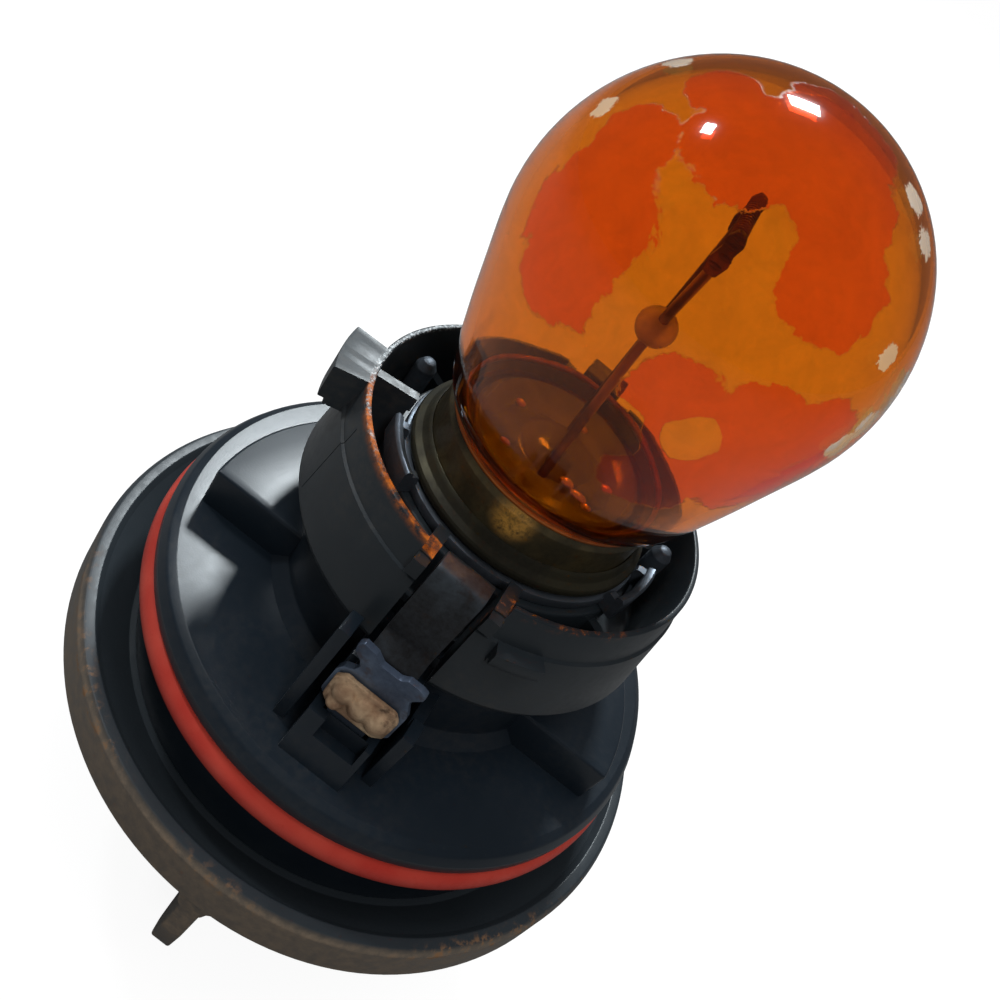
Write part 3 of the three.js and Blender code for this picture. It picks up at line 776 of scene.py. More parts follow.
@dataclass(frozen=True)
class Powdery:
    """A dull cast or baked filler such as cement or potting resin."""

    name: str
    base: Colour
    roughness: float = 0.8

    def make(self) -> bpy.types.Material:
        """Build the material."""
        book = NodeBook(self.name)
        fine = book.noise(2.5, 6.0, 0.7, seed=61.0)
        colour = book.mix(fine.band(0.3, 0.75), self.base, tuple(part * 0.6 for part in self.base))
        return book.output(book.surface(Base_Color=colour, Roughness=self.roughness + fine * 0.1,
                                        Normal=book.bump(fine, 0.06, 0.6)))


@dataclass(frozen=True)
class Backdrop:
    """Pale even floor that glows softly when looked at, and throws little light back on the object."""

    name: str = "studio_floor"
    shade: float = 0.12
    seen_glow: float = 0.92
    glow_through_glass: float = 0.69
    thrown_glow: float = 0.05

    def make(self) -> bpy.types.Material:
        """Build the material."""
        book = NodeBook(self.name)
        cloud = book.noise(0.02, 2.0, seed=71.0)
        colour = book.mix(cloud, (self.shade,) * 3, (self.shade * 0.99,) * 3)
        seen, through, thrown = (
            book.surface(Base_Color=colour, Roughness=0.9, Specular_IOR_Level=0.0,
                         Emission_Color=(1.0, 1.0, 1.0), Emission_Strength=glow)
            for glow in (self.seen_glow, self.glow_through_glass, self.thrown_glow))
        path = book.node("ShaderNodeLightPath")
        indirect = book.blend(path.link("Is Transmission Ray"), thrown, through)
        return book.output(book.blend(path.link("Is Camera Ray"), indirect, seen))


def hand_over(piece: bpy.types.Object, material: bpy.types.Material, slot: str, *nodes: str,
              sharp_angle: float = 32.0) -> bpy.types.Object:
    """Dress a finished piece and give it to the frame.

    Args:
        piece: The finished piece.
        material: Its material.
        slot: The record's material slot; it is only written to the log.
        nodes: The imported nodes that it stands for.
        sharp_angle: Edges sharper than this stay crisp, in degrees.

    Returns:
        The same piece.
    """
    activate(piece)
    bpy.ops.object.shade_smooth_by_angle(angle=math.radians(sharp_angle))
    piece.data.materials.clear()
    piece.data.materials.append(material)
    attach(piece, "root")
    if nodes:
        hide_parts(*nodes)
    LOG.info("%s: %d faces, slot %s", piece.name, len(piece.data.polygons), slot)
    return piece


def dress_node(node: str, material: bpy.types.Material) -> None:
    """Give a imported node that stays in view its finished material."""
    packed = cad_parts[node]
    packed.data.materials.clear()
    packed.data.materials.append(material)
    LOG.info("%s: packed node kept", node)


# ------------------------------------------------------------------ sub-assemblies
@dataclass
class GlassBulb:
    """The pear-shaped envelope, its pressed floor and the pumping stub."""

    tip: float = field(default_factory=lambda: high("glass_envelope").z)
    globe_radius: float = field(default_factory=lambda: high("glass_envelope").y)
    foot: float = field(default_factory=lambda: low("glass_envelope").z)
    wall: float = 0.55
    neck_radius: float = 5.6
    # Painted glints: places (x, y, width, depth) of small bright gold drops on the seal floor.
    glint_spots: tuple[tuple[float, float, float, float], ...] = (
        (1.2, -2.0, 0.42, 0.26), (2.0, -2.3, 0.5, 0.3), (3.1, -0.5, 0.36, 0.3), (2.6, -2.7, 0.3, 0.22),
        (-2.4, -2.6, 0.3, 0.2), (-3.0, 0.8, 0.3, 0.24), (0.4, 2.6, 0.34, 0.22))

    @property
    def globe_centre(self) -> float:
        """Height of the globe's centre."""
        return self.tip - self.globe_radius

    def outer_profile(self) -> list[Point2]:
        """Return the outside from the tip to the neck's foot."""
        globe = arc(self.globe_radius, 90, -8, 30, (0.0, self.globe_centre))
        globe[0] = (0.0, self.tip)
        flank = smooth_curve([globe[-1], (9.02, 16.9), (8.6, 15.1), (8.18, 13.3), (7.82, 11.9),
                              (7.44, 10.5), (7.02, 9.45), (6.5, 8.75), (6.05, 8.3),
                              (self.neck_radius, 7.85)], 4)
        return globe + flank[1:] + [(self.neck_radius, 6.0), (self.neck_radius, self.foot)]

    def build(self) -> None:
        """Model the envelope and dress its packed neighbours."""
        outside = self.outer_profile()
        inside = offset(outside, self.wall)
        inside[0] = (0.0, self.tip - self.wall)
        profile = outside + [(r, max(z, self.foot)) for r, z in reversed(inside)]
        envelope = turned("envelope_glass", profile, 128)
        hand_over(envelope, LacqueredGlass("lacquered_glass").make(), "amber_glass",
                  "glass_envelope", sharp_angle=60)
        pressed = PlainGlass("pressed_glass").make()
        envelope.data.materials.append(PlainGlass("bare_glass", (0.98, 0.97, 0.95), 1.0).make())
        middle = Vector((0.0, 0.0, self.globe_centre)) * MM
        for face in envelope.data.polygons:
            towards = Vector((0.0, 0.0, face.center.z)) if face.center.z < middle.z else middle
            if face.normal.dot(face.center - towards) < 0:
                face.material_index = 1
        seal = high("glass_seal_plate").z
        radius = self.neck_radius - self.wall - 0.1
        foot = low("glass_seal_plate").z
        floor = turned("seal_floor_glass", rounded([
            (0.0, seal), (1.6, seal), (2.2, seal - 0.35, 0.4), (3.6, seal - 0.35, 0.4), (radius, seal, 0.25),
            (radius, foot + 0.1, 0.3), (0.0, foot)], closed=False), 64)
        hand_over(floor, pressed, "clear_glass", "glass_seal_plate")
        # Painted glints: bright gold metal drops on the seal floor make its gold glints.
        glint_spots, *drops = [ball("gold_glint_drops", (x, y, seal + 0.02), (wide, deep, 0.16), 16)
                           for x, y, wide, deep in self.glint_spots]
        for drop in drops:
            fuse(glint_spots, drop)
        gold = Metal("glint_gold", srgb(255, 206, 96), srgb(214, 140, 40), 0.22, 0.3, 0.03,
                     metallic=0.9).make()
        hand_over(glint_spots, gold, "cap_brass", sharp_angle=60)
        line = turned("joint_lacquer", arc(0.16, 0, 315, 7, (self.neck_radius + 0.5, seal + 0.1)), 128)
        copper = Metal("joint_copper", srgb(226, 128, 62), srgb(150, 76, 36), 0.3, 0.5, 0.02,
                       metallic=0.6).make()
        hand_over(line, copper, "amber_glass", sharp_angle=60)
        dress_node("exhaust_stub", pressed)


@dataclass
class FilamentMount:
    """Two support wires through a glass bead, with the coil crimped between their ends."""

    lean: float = -0.35
    bead_height: float = 16.4
    bead_radius: float = 1.02
    coil_height: float = 22.4
    coil_half: float = 2.45
    wire_radius: float = 0.25
    seal_top: float = field(default_factory=lambda: high("glass_seal_plate").z)

    def support_route(self, side: int) -> list[tuple[float, ...]]:
        """Return one support wire's route; side is -1 in front and 1 behind."""
        x = self.lean
        return smooth_curve([(0, side * 2.3, self.seal_top - 0.35), (x * 0.3, side * 2.1, 9.6),
                             (x * 0.7, side * 1.2, 12.6), (x, side * 0.5, 15.0),
                             (x, side * 0.46, self.bead_height), (x, side * 0.6, 17.6),
                             (x, side * 1.35, 19.2), (x, side * 2.1, 20.8), (x, side * 2.62, 21.9)], 6)

    def clamp(self, side: int) -> bpy.types.Object:
        """Model the flattened hook round one end of the coil."""
        x = self.lean
        near, far = sorted((side * 2.5, side * 2.92))
        sleeve = prism(f"clamp_{side}", Plane.XZ, rounded([
            (x - 0.3, 20.98, 0.12), (x - 0.46, 21.6, 0.2), (x - 0.34, 22.2, 0.15), (x - 0.42, 22.7, 0.12),
            (x - 0.2, 23.12, 0.15), (x + 0.2, 23.08, 0.15), (x + 0.38, 22.7, 0.15), (x + 0.3, 22.2, 0.12),
            (x + 0.42, 21.7, 0.2), (x + 0.26, 21.05, 0.12)], 3), near, far)
        ridges = [ball("ridge", (x + across, side * 2.92, height), (0.34, 0.14, 0.13), 16)
                  for across, height in ((-0.05, 21.45), (0.05, 21.95), (-0.04, 22.45), (0.0, 22.85))]
        return soften(fuse(sleeve, *ridges), 0.05, 2)

    def build(self) -> None:
        """Model the whole mount."""
        wire = Metal("support_wire", srgb(150, 108, 70), srgb(70, 44, 28), 0.3, 0.5, 0.02).make()
        dark = Metal("burnt_tungsten", srgb(150, 92, 52), srgb(66, 34, 18), 0.35, 0.6, 0.05).make()
        for side, word in ((-1, "front"), (1, "rear")):
            route = self.support_route(side)
            support = tube(f"support_{word}", route, self.wire_radius, 3)
            hand_over(support, wire, "lead_wire", f"support_wire_{word}", sharp_angle=60)
            clamp = self.clamp(side)
            clamp.name = f"coil_clamp_{word}"
            hand_over(clamp, dark, "tungsten", f"filament_clamp_{word}", sharp_angle=60)
        bead = ball("bead_glass", (self.lean, 0, self.bead_height),
                    (self.bead_radius, self.bead_radius, self.bead_radius * 0.94), 40)
        for side in (-1, 1):
            cut(bead, tube("bead_hole", self.support_route(side), self.wire_radius + 0.03, 3))
        amber_bead = PlainGlass("bead_glass", (0.98, 0.74, 0.36), 0.6).make()
        hand_over(bead, amber_bead, "clear_glass", "glass_bead", sharp_angle=50)
        turns, per_turn, coil_radius = 15, 14, 0.3
        length = turns * per_turn
        turned_by = [math.tau * i / per_turn for i in range(length + 1)]
        helix = [(self.lean + coil_radius * math.sin(angle), self.coil_half * (2 * i / length - 1),
                  self.coil_height + coil_radius * math.cos(angle)) for i, angle in enumerate(turned_by)]
        coil = tube("coil_wire", helix, 0.075, 1)
        hand_over(coil, dark, "tungsten", "filament_coil", sharp_angle=80)


@dataclass
class CapGroup:
    """The metal cap, its skirt, the sprung retaining ring and the two locating pins."""

    cap_top: float = field(default_factory=lambda: high("cap_shell").z)
    cap_foot: float = field(default_factory=lambda: low("cap_shell").z)
    cap_radius: float = 6.3
    ring_foot: float = field(default_factory=lambda: low("retaining_ring").z)
    leaf_angles: tuple[float, ...] = (-143.0, -14.0, 52.0, 126.0)
    leaf_half: float = 14.0
    pin_angles: tuple[tuple[str, float], ...] = (("left", 164.5), ("right", 15.5))
    pin_circle: float = 8.45

    def leaf(self, angle: float) -> bpy.types.Object:
        """Model one upright sprung leaf with its two returns."""
        base = self.ring_foot
        start = angle - self.leaf_half
        sweep = 2 * self.leaf_half
        wall = turned("leaf", rounded([
            (7.66, base, 0.05), (8.08, base, 0.05), (8.1, base + 1.3, 0.1), (7.95, base + 1.47, 0.08),
            (7.62, base + 1.3, 0.1)], 2), 10, start, sweep)
        ends = [turned("leaf_end", rounded([(7.0, base, 0.05), (7.9, base, 0.05), (7.9, base + 1.1, 0.1),
                                            (7.15, base + 1.05, 0.2)], 2), 3, begin, 3.6)
                for begin in (start, start + sweep - 3.6)]
        return fuse(wall, *ends)

    def build(self) -> None:
        """Model the cap group."""
        # The cap brass carries a painted highlight: a bright gold spot on the front of the cap's shoulder.
        brass = Metal("cap_brass", srgb(132, 116, 82), srgb(62, 58, 46), 0.3, 0.75, 0.012,
                      stain=srgb(78, 64, 42), metallic=0.8, gold_highlight_spot=(0.1, -6.3, 7.45, 1.5)).make()
        steel = Metal("ring_steel", srgb(112, 120, 130), srgb(56, 60, 66), 0.36, 0.5, 0.015,
                      metallic=0.85).make()
        top, foot, r = self.cap_top, self.cap_foot, self.cap_radius
        shell = turned("cap_brass_shell", rounded([
            (r, foot), (r, top - 0.4, 0.3), (r - 0.15, top, 0.08), (r - 0.35, top, 0.05),
            (r - 0.35, foot)], 4), 96)
        hand_over(shell, brass, "cap_brass", "cap_shell")
        skirt = turned("cap_skirt", rounded([
            (r + 0.05, 6.25, 0.02), (r + 0.2, 6.02, 0.15), (r + 0.36, 5.72, 0.2), (r + 0.66, 5.5, 0.06),
            (r + 0.72, 5.36, 0.06), (r + 0.72, 5.06, 0.06), (r + 0.05, 5.06)], 3), 96)
        # Painted shade: the skirt gets a darker, rougher copy of the cap brass, which keeps its lit steps
        # dark.
        shaded_skirt_metal = Metal("skirt_metal", srgb(84, 80, 64), srgb(44, 42, 36), 0.4, 0.6, 0.012,
                     metallic=0.8).make()
        hand_over(skirt, shaded_skirt_metal, "cap_brass", "cap_flange")
        base = self.ring_foot
        band = turned("retaining_leaves", rounded([
            (6.41, base, 0.05), (7.2, base, 0.08), (7.2, base + 0.57, 0.12), (6.41, base + 0.57, 0.12)], 2),
                      96)
        fuse(band, *(self.leaf(angle) for angle in self.leaf_angles))
        hand_over(band, steel, "ring_steel", "retaining_ring")
        for word, angle in self.pin_angles:
            x = self.pin_circle * math.cos(math.radians(angle))
            y = self.pin_circle * math.sin(math.radians(angle))
            foot_z = low(f"locating_pin_{word}").z
            pin = turned(f"locating_peg_{word}", rounded([
                (0.0, foot_z), (0.62, foot_z, 0.05), (0.62, 5.05, 0.12), (0.36, 5.5, 0.16), (0.0, 5.64)],
                closed=False), 28, centre=(x, y))
            hand_over(pin, steel, "ring_steel", f"locating_pin_{word}")
        cement = Powdery("basing_cement", srgb(150, 132, 104)).make()
        dress_node("basing_cement", cement)


@dataclass
class CarrierRing:
    """The plastic ring round the cap, with its lugs, notches, collar, rib and gussets."""

    rim: float = field(default_factory=lambda: high("carrier_ring").z)
    notch_half: float = 1.75
    cheek_width: float = 0.68
    cheek_top: float = 5.85
    seam_angles: tuple[float, float] = (-144.5, 35.5)
    floor_top: float = 0.95
    collar_radius: float = 7.55

    def wall(self) -> bpy.types.Object:
        """Model the turned body."""
        rim = self.rim
        return turned("carrier_ring_body", rounded([
            (9.7, rim, 0.08), (10.0, rim, 0.1), (10.26, 4.46, 0.03), (10.42, 4.36, 0.05), (10.92, 0.42, 0.15),
            (10.74, 0.0, 0.12), (5.0, 0.0, 0.1), (5.0, self.floor_top, 0.1), (6.45, self.floor_top, 0.1),
            (6.45, 4.2, 0.1), (self.collar_radius, 4.2, 0.15), (self.collar_radius, self.floor_top, 0.2),
            (9.36, self.floor_top, 0.3), (9.5, 4.0, 0.1)], 3), 144)

    def lug(self, centre: float, half: float, foot: float, top: float, outer: float) -> bpy.types.Object:
        """Model one lug with its stepped toe."""
        slab = turned("lug", rounded([(9.75, foot, 0.05), (outer, foot, 0.08), (outer, top, 0.1),
                                      (9.75, top, 0.05)], 2), 10, centre - half, 2 * half)
        toe = turned("toe", rounded([(9.9, foot - 0.35, 0.02), (outer - 0.4, foot - 0.35, 0.06),
                                     (outer - 0.4, foot + 0.1, 0.02), (9.9, foot + 0.1, 0.02)], 2), 10,
                     centre - half, 2 * half)
        return fuse(slab, toe)

    def radial(self, angle: float, inner: float, outer: float, foot: float, top: float) -> bpy.types.Object:
        """Model a straight rib along a radius."""
        rib = block("rib", (inner, -0.28, foot), (outer, 0.28, top))
        turn_round(angle, rib)
        return rib

    def beside_notch(self, side: int, turn: float) -> tuple[bpy.types.Object, bpy.types.Object]:
        """Model one block beside a notch, and the cut that lowers the rim over it.

        Args:
            side: -1 for the block at lower X, 1 for the other, both for the front notch.
            turn: Degrees from the front notch to the one that is meant.

        Returns:
            The block with its outer tooth, and the cutting block.
        """
        inner, outer, top = self.notch_half, self.notch_half + self.cheek_width, self.cheek_top
        x0, x1 = sorted((side * inner, side * outer))
        cheek = fuse(block("cheek", (x0, -9.85, self.floor_top - 0.1), (x1, -7.75, top)),
                     block("tooth", (x0, -10.45, top - 1.1), (x1, -9.5, top - 0.1)))
        x0, x1 = sorted((side * (inner - 0.1), side * outer))
        shoulder = block("shoulder", (x0, -13, top), (x1, -9, self.rim + 1))
        turn_round(turn, cheek, shoulder)
        return cheek, shoulder

    def build(self) -> None:
        """Model the ring."""
        ring = self.wall()
        beside = [self.beside_notch(side, turn) for side in (-1, 1) for turn in (0.0, 180.0)]
        fuse(ring, self.lug(-67, 6.7, 3.65, 4.45, 11.15), self.lug(-168, 9.2, 4.3, self.rim, 11.84),
             self.lug(48, 6.7, 3.65, 4.45, 11.15), *(cheek for cheek, _ in beside),
             self.radial(-169, self.collar_radius - 0.1, 9.75, self.floor_top - 0.1, 5.9),
             self.radial(-169, 7.3, 9.0, 5.0, 5.9))
        cut(ring, *(shoulder for _, shoulder in beside))
        for angle in (-28, -57, 150, 30):
            fuse(ring, self.radial(angle, self.collar_radius - 0.1, 9.6, self.floor_top - 0.1, 3.4))
        half = self.notch_half
        for front in (-1, 1):
            near, far = sorted((front * 8.3, front * 13.0))
            cut(ring, block("notch", (-half, near, -1), (half, far, self.rim + 1)))
            near, far = sorted((front * 5.6, front * 8.5))
            cut(ring, block("lead_slot", (-0.5, near, self.floor_top), (0.5, far, 2.3)))
        for angle in self.seam_angles:
            groove = block("seam", (10.0, -0.03, -0.5), (11.2, 0.03, 4.4))
            slant = math.atan2(10.92 - 10.42, 4.36)
            groove.data.transform(Matrix.Translation((0.36 * MM, 0, 0)) @ Matrix.Rotation(-slant, 4, "Y"))
            turn_round(angle, groove)
            cut(ring, groove)
        soften(ring, 0.07, 2, 40)
        plastic = MouldedPlastic("ring_plastic", base=srgb(31, 36, 40), dust_share=0.34, roughness=0.38,
                                 rust=(9.0, 9.95, 3.0, self.rim + 0.1)).make()
        hand_over(ring, plastic, "black_plastic", "carrier_ring")


@dataclass
class ContactSet:
    """One pole: the strap over the ring's rim, the weld and the terminal with its forked tab."""

    word: str
    turn: float
    pin_side: int
    strap_edges: Point2 = (-1.42, 1.2)
    strap_in: float = 9.5
    strap_y: float = 11.1
    metal: float = 0.4
    tab_y: float = 12.4
    cross_z: float = -12.6
    socket_z: float = -22.4
    pin_x: float = 2.5
    pin_half: float = 0.85
    pin_tip: float = 19.2

    def strap(self) -> bpy.types.Object:
        """Model the bent strip in front and turn it to its place."""
        outer, inner, metal = -self.strap_y, -self.strap_in, self.metal
        strip = prism(f"strap_{self.word}", Plane.YZ, rounded([
            (inner, 1.15), (inner, 6.8, 0.45), (outer, 6.8, 0.45), (outer, 1.9, 0.4),
            (-11.9, 1.05, 0.4), (-11.9, -2.95), (-11.5, -2.95), (-11.5, 1.2, 0.3),
            (outer + metal, 2.05, 0.3), (outer + metal, 6.4, 0.1), (inner - metal, 6.4, 0.1),
            (inner - metal, 1.15)], 4), *self.strap_edges)
        return soften(strip, 0.06, 2)

    def tab(self) -> bpy.types.Object:
        """Model the forked welding tab and the leg under it."""
        outline = rounded([(-1.72, 1.62, 0.12), (-1.95, 1.32, 0.12), (-1.86, 0.86, 0.2), (-1.42, 0.52, 0.2),
                           (-1.2, 0.16, 0.2), (-1.36, -0.28, 0.2), (-1.8, -0.52, 0.15), (-2.0, -0.95, 0.2),
                           (-2.0, -2.75, 0.4), (-1.5, -3.25, 0.3), (1.5, -3.25, 0.3), (2.0, -2.75, 0.4),
                           (2.0, -0.75, 0.2), (1.75, -0.2, 0.3), (1.55, 0.35, 0.3), (1.98, 0.95, 0.2),
                           (1.98, 1.3, 0.12), (1.6, 1.42, 0.1), (0.9, 1.42, 0.1), (0.55, 1.1, 0.3),
                           (-0.5, 1.1, 0.3), (-1.0, 1.5, 0.1)], 3)
        plate = prism("tab", Plane.XZ, outline, -self.tab_y, -self.tab_y + self.metal)
        leg = block("leg", (-1.1, -self.tab_y, self.cross_z - 0.6), (1.1, -self.tab_y + self.metal, -3.1))
        return fuse(plate, leg, solver="EXACT")

    def run(self) -> bpy.types.Object:
        """Model the hidden run from the leg down to the contact blade."""
        outward = 1 if self.turn else -1
        from_y = outward * self.tab_y
        to_y = 4.0 if self.turn else -3.0
        x0 = self.pin_side * self.pin_x - self.pin_half
        x1 = self.pin_side * self.pin_x + self.pin_half
        top, mid, tip = self.cross_z, self.socket_z, self.pin_tip
        ends = sorted((from_y, from_y - outward * 2.2))
        parts = [block("cross", (min(x0, -1.1), ends[0], top - 0.6), (max(x1, 1.1), ends[1], top)),
                 block("inward", (x0, min(from_y, to_y), top - 0.6), (x1, max(from_y, to_y), top)),
                 block("down", (x0, to_y - 0.3, mid - 0.4), (x1, to_y + 0.3, top - 0.1)),
                 prism("blade", Plane.YZ, [
                     (to_y - 0.3, mid - 0.4), (tip - 0.9, mid - 0.4), (tip, mid - 0.15), (tip, mid + 0.15),
                     (tip - 0.9, mid + 0.4), (to_y - 0.3, mid + 0.4)], x0, x1)]
        return fuse(parts[0], *parts[1:], solver="EXACT")

    def weld(self) -> bpy.types.Object:
        """Model the run-together weld nuggets on the tab."""
        y = -self.tab_y - 0.05
        pad = prism("pad", Plane.XZ, rounded([(-1.85, -1.0, 0.2), (-1.45, -0.55, 0.2), (1.5, -0.62, 0.2),
                                              (1.85, -1.1, 0.2), (1.8, -2.6, 0.3), (1.3, -3.05, 0.3),
                                              (-1.3, -3.05, 0.3), (-1.8, -2.6, 0.3)], 3), y - 0.32, y)
        lumps = [ball("lump", (x, y - 0.35, z), (rx, 0.46, rz), 24)
                 for x, z, rx, rz in ((-1.0, -1.45, 0.62, 0.72), (0.1, -1.7, 0.66, 0.85),
                                      (1.1, -1.8, 0.6, 0.82), (-1.1, -2.35, 0.45, 0.5))]
        fuse(pad, *lumps)
        apply_modifier(pad, "REMESH", mode="VOXEL", voxel_size=0.07 * MM)
        apply_modifier(pad, "SMOOTH", factor=0.8, iterations=4)
        return pad

    def build(self, finishes: "ContactFinishes") -> None:
        """Model this pole and turn it to its side of the lamp."""
        strap = self.strap()
        tab = self.tab()
        weld = self.weld()
        turn_round(self.turn, strap, tab, weld)
        terminal = soften(fuse(tab, self.run(), solver="EXACT"), 0.05, 2)
        strap.name = f"contact_strip_{self.word}"
        terminal.name = f"terminal_blade_{self.word}"
        weld.name = f"weld_{self.word}"
        hand_over(strap, finishes.strap, "strap_metal", f"contact_strap_{self.word}")
        hand_over(terminal, finishes.terminal, "terminal_steel", f"terminal_{self.word}")
        hand_over(weld, finishes.weld, "weld_copper", f"weld_nuggets_{self.word}", sharp_angle=70)
        dress_node(f"outer_lead_{self.word}", finishes.lead)


@dataclass
class ContactFinishes:
    """The metals that both poles share."""

    strap: bpy.types.Material = field(default_factory=lambda: Metal(
        "heat_browned_strip", srgb(88, 96, 104), srgb(34, 32, 32), 0.4, 0.7, 0.03, stain=srgb(52, 44, 40),
        metallic=0.75).make())
    terminal: bpy.types.Material = field(default_factory=lambda: Metal(
        "blued_steel", srgb(122, 138, 160), srgb(64, 74, 92), 0.28, 0.5, 0.02, stain=srgb(82, 70, 68),
        metallic=0.8).make())
    weld: bpy.types.Material = field(default_factory=lambda: Metal(
        "weld_copper", srgb(255, 222, 180), srgb(136, 100, 76), 0.28, 0.6, 0.05, stain=srgb(40, 32, 28),
        metallic=0.6).make())
    lead: bpy.types.Material = field(default_factory=lambda: Metal(
        "lead_wire", srgb(150, 120, 96), srgb(80, 60, 46), 0.35, 0.5, 0.02).make())


@dataclass
class SealedBase:
    """The base's stem, disc, platform, terminal pockets and the O-ring under the disc."""

    disc_top: float = -6.2
    disc_radius: float = field(default_factory=lambda: high("base_body").x)
    disc_foot: float = -7.75
    stem_radius: float = 9.1
    bore_radius: float = 7.6
    platform_top: float = -3.6
    platform_radius: float = 13.4
    platform_centre_y: float = -3.4
    platform_y: float = -5.0
    neck_radius: float = 14.8
    groove_radius: float = 13.75
    groove_foot: float = -9.98
    foot: float = field(default_factory=lambda: low("base_body").z)
    tab_y: float = 12.4
    post_x: float = 2.75
    ring_major: float = 14.9
    ring_minor: float = 1.1

    def turned_body(self) -> bpy.types.Object:
        """Model the disc with its neck, and the stem's tube with a small fillet at its foot."""
        top, r = self.disc_top, self.disc_radius
        inner = self.neck_radius - 1.5
        disc = turned("base_shell", rounded([
            (0.0, top), (14.9, top, 0.1), (r - 0.3, top - 0.25, 0.4), (r, top - 0.8, 0.2),
            (r, self.disc_foot, 0.12), (self.groove_radius, self.disc_foot, 0.1),
            (self.groove_radius, self.groove_foot, 0.1), (self.neck_radius, self.groove_foot, 0.1),
            (self.neck_radius, self.foot, 0.1), (inner, self.foot, 0.1), (inner, -8.4, 0.3), (0.0, -8.4)],
            4, closed=False), 144)
        s = self.stem_radius
        bore = self.bore_radius
        stem = turned("stem", rounded([
            (bore, -0.1), (s - 0.1, -0.1, 0.1), (s, top + 0.8, 0.3), (s + 0.75, top - 0.05),
            (s + 0.75, top - 0.6), (bore, top - 0.6)], 5), 144)
        return fuse(disc, stem)

    def platform(self) -> bpy.types.Object:
        """Model the raised step behind the front wall."""
        behind = self.platform_centre_y - self.platform_y
        overhang = math.degrees(math.asin(behind / self.platform_radius))
        outline = arc(self.platform_radius, -overhang, 180 + overhang, 72, (0.0, self.platform_centre_y))
        step = prism("platform", Plane.XY, outline, self.disc_top - 0.2, self.platform_top)
        return soften(step, 0.18, 3)

    def pocket(self) -> bpy.types.Object:
        """Model the front pocket with its sloping face."""
        foot = self.disc_top - 0.2
        shell = prism("pocket", Plane.YZ, [(-14.1, foot), (-12.95, -2.3), (-11.2, -2.3), (-11.2, -0.9),
                                           (-8.6, -0.9), (-8.6, foot)], -1.85, 1.85)
        return soften(shell, 0.1, 2)

    def post(self, x: float, top: float) -> bpy.types.Object:
        """Model a guide post with its buttress."""
        foot = self.disc_top - 0.2
        tall = block("post", (x - 0.34, -12.7, foot), (x + 0.34, -11.3, top))
        wide = block("buttress", (x - 0.34, -12.7, foot), (x + 0.34, -8.4, -2.6))
        return soften(fuse(tall, wide), 0.08, 2)

    def fixtures(self, turn: float) -> list[bpy.types.Object]:
        """Return the pocket and posts of one side, turned to their place."""
        pieces = [self.pocket(), self.post(-self.post_x, 1.75), self.post(self.post_x, -1.6)]
        turn_round(turn, *pieces)
        return pieces

    def cutters(self, turn: float) -> list[bpy.types.Object]:
        """Return the shapes that clear room for one terminal."""
        y = -self.tab_y
        pieces = [block("slot", (-1.3, y - 0.35, self.foot - 1), (1.3, y + 0.6, 0)),
                  block("tab_room", (-2.2, y - 1.1, -3.4), (2.2, -11.3, 2))]
        if turn == 0:
            pieces.append(prism("bay", Plane.YZ, [(-15, -2.0), (-13.6, -4.5), (-12.8, -4.7), (-12.8, 0),
                                                  (-15, 0)], -0.85, 1.5))
        turn_round(turn, *pieces)
        return pieces

    def build(self) -> None:
        """Model the base and the O-ring."""
        body = self.turned_body()
        fuse(body, self.platform())
        r, foot = self.bore_radius, self.disc_top + 0.6
        bore = turned("bore", [(0.0, foot), (r, foot), (r, 0.4), (0.0, 0.4)], 96)
        fuse(body, *self.fixtures(0.0), *self.fixtures(180.0))
        cut(body, bore, *self.cutters(0.0), *self.cutters(180.0))
        body.name = "base_shell"
        plastic = MouldedPlastic("base_plastic", base=srgb(20, 27, 34), dust_share=0.12, roughness=0.33,
                                 unevenness=0.03).make()
        hand_over(body, plastic, "black_plastic", "base_body")
        middle = (self.disc_foot + self.groove_foot) / 2
        seal = turned("seal_ring", arc(self.ring_minor, 0, 348.75, 31, (self.ring_major, middle)), 160)
        hand_over(seal, SealRubber("seal_rubber").make(), "red_rubber", "o_ring", sharp_angle=80)


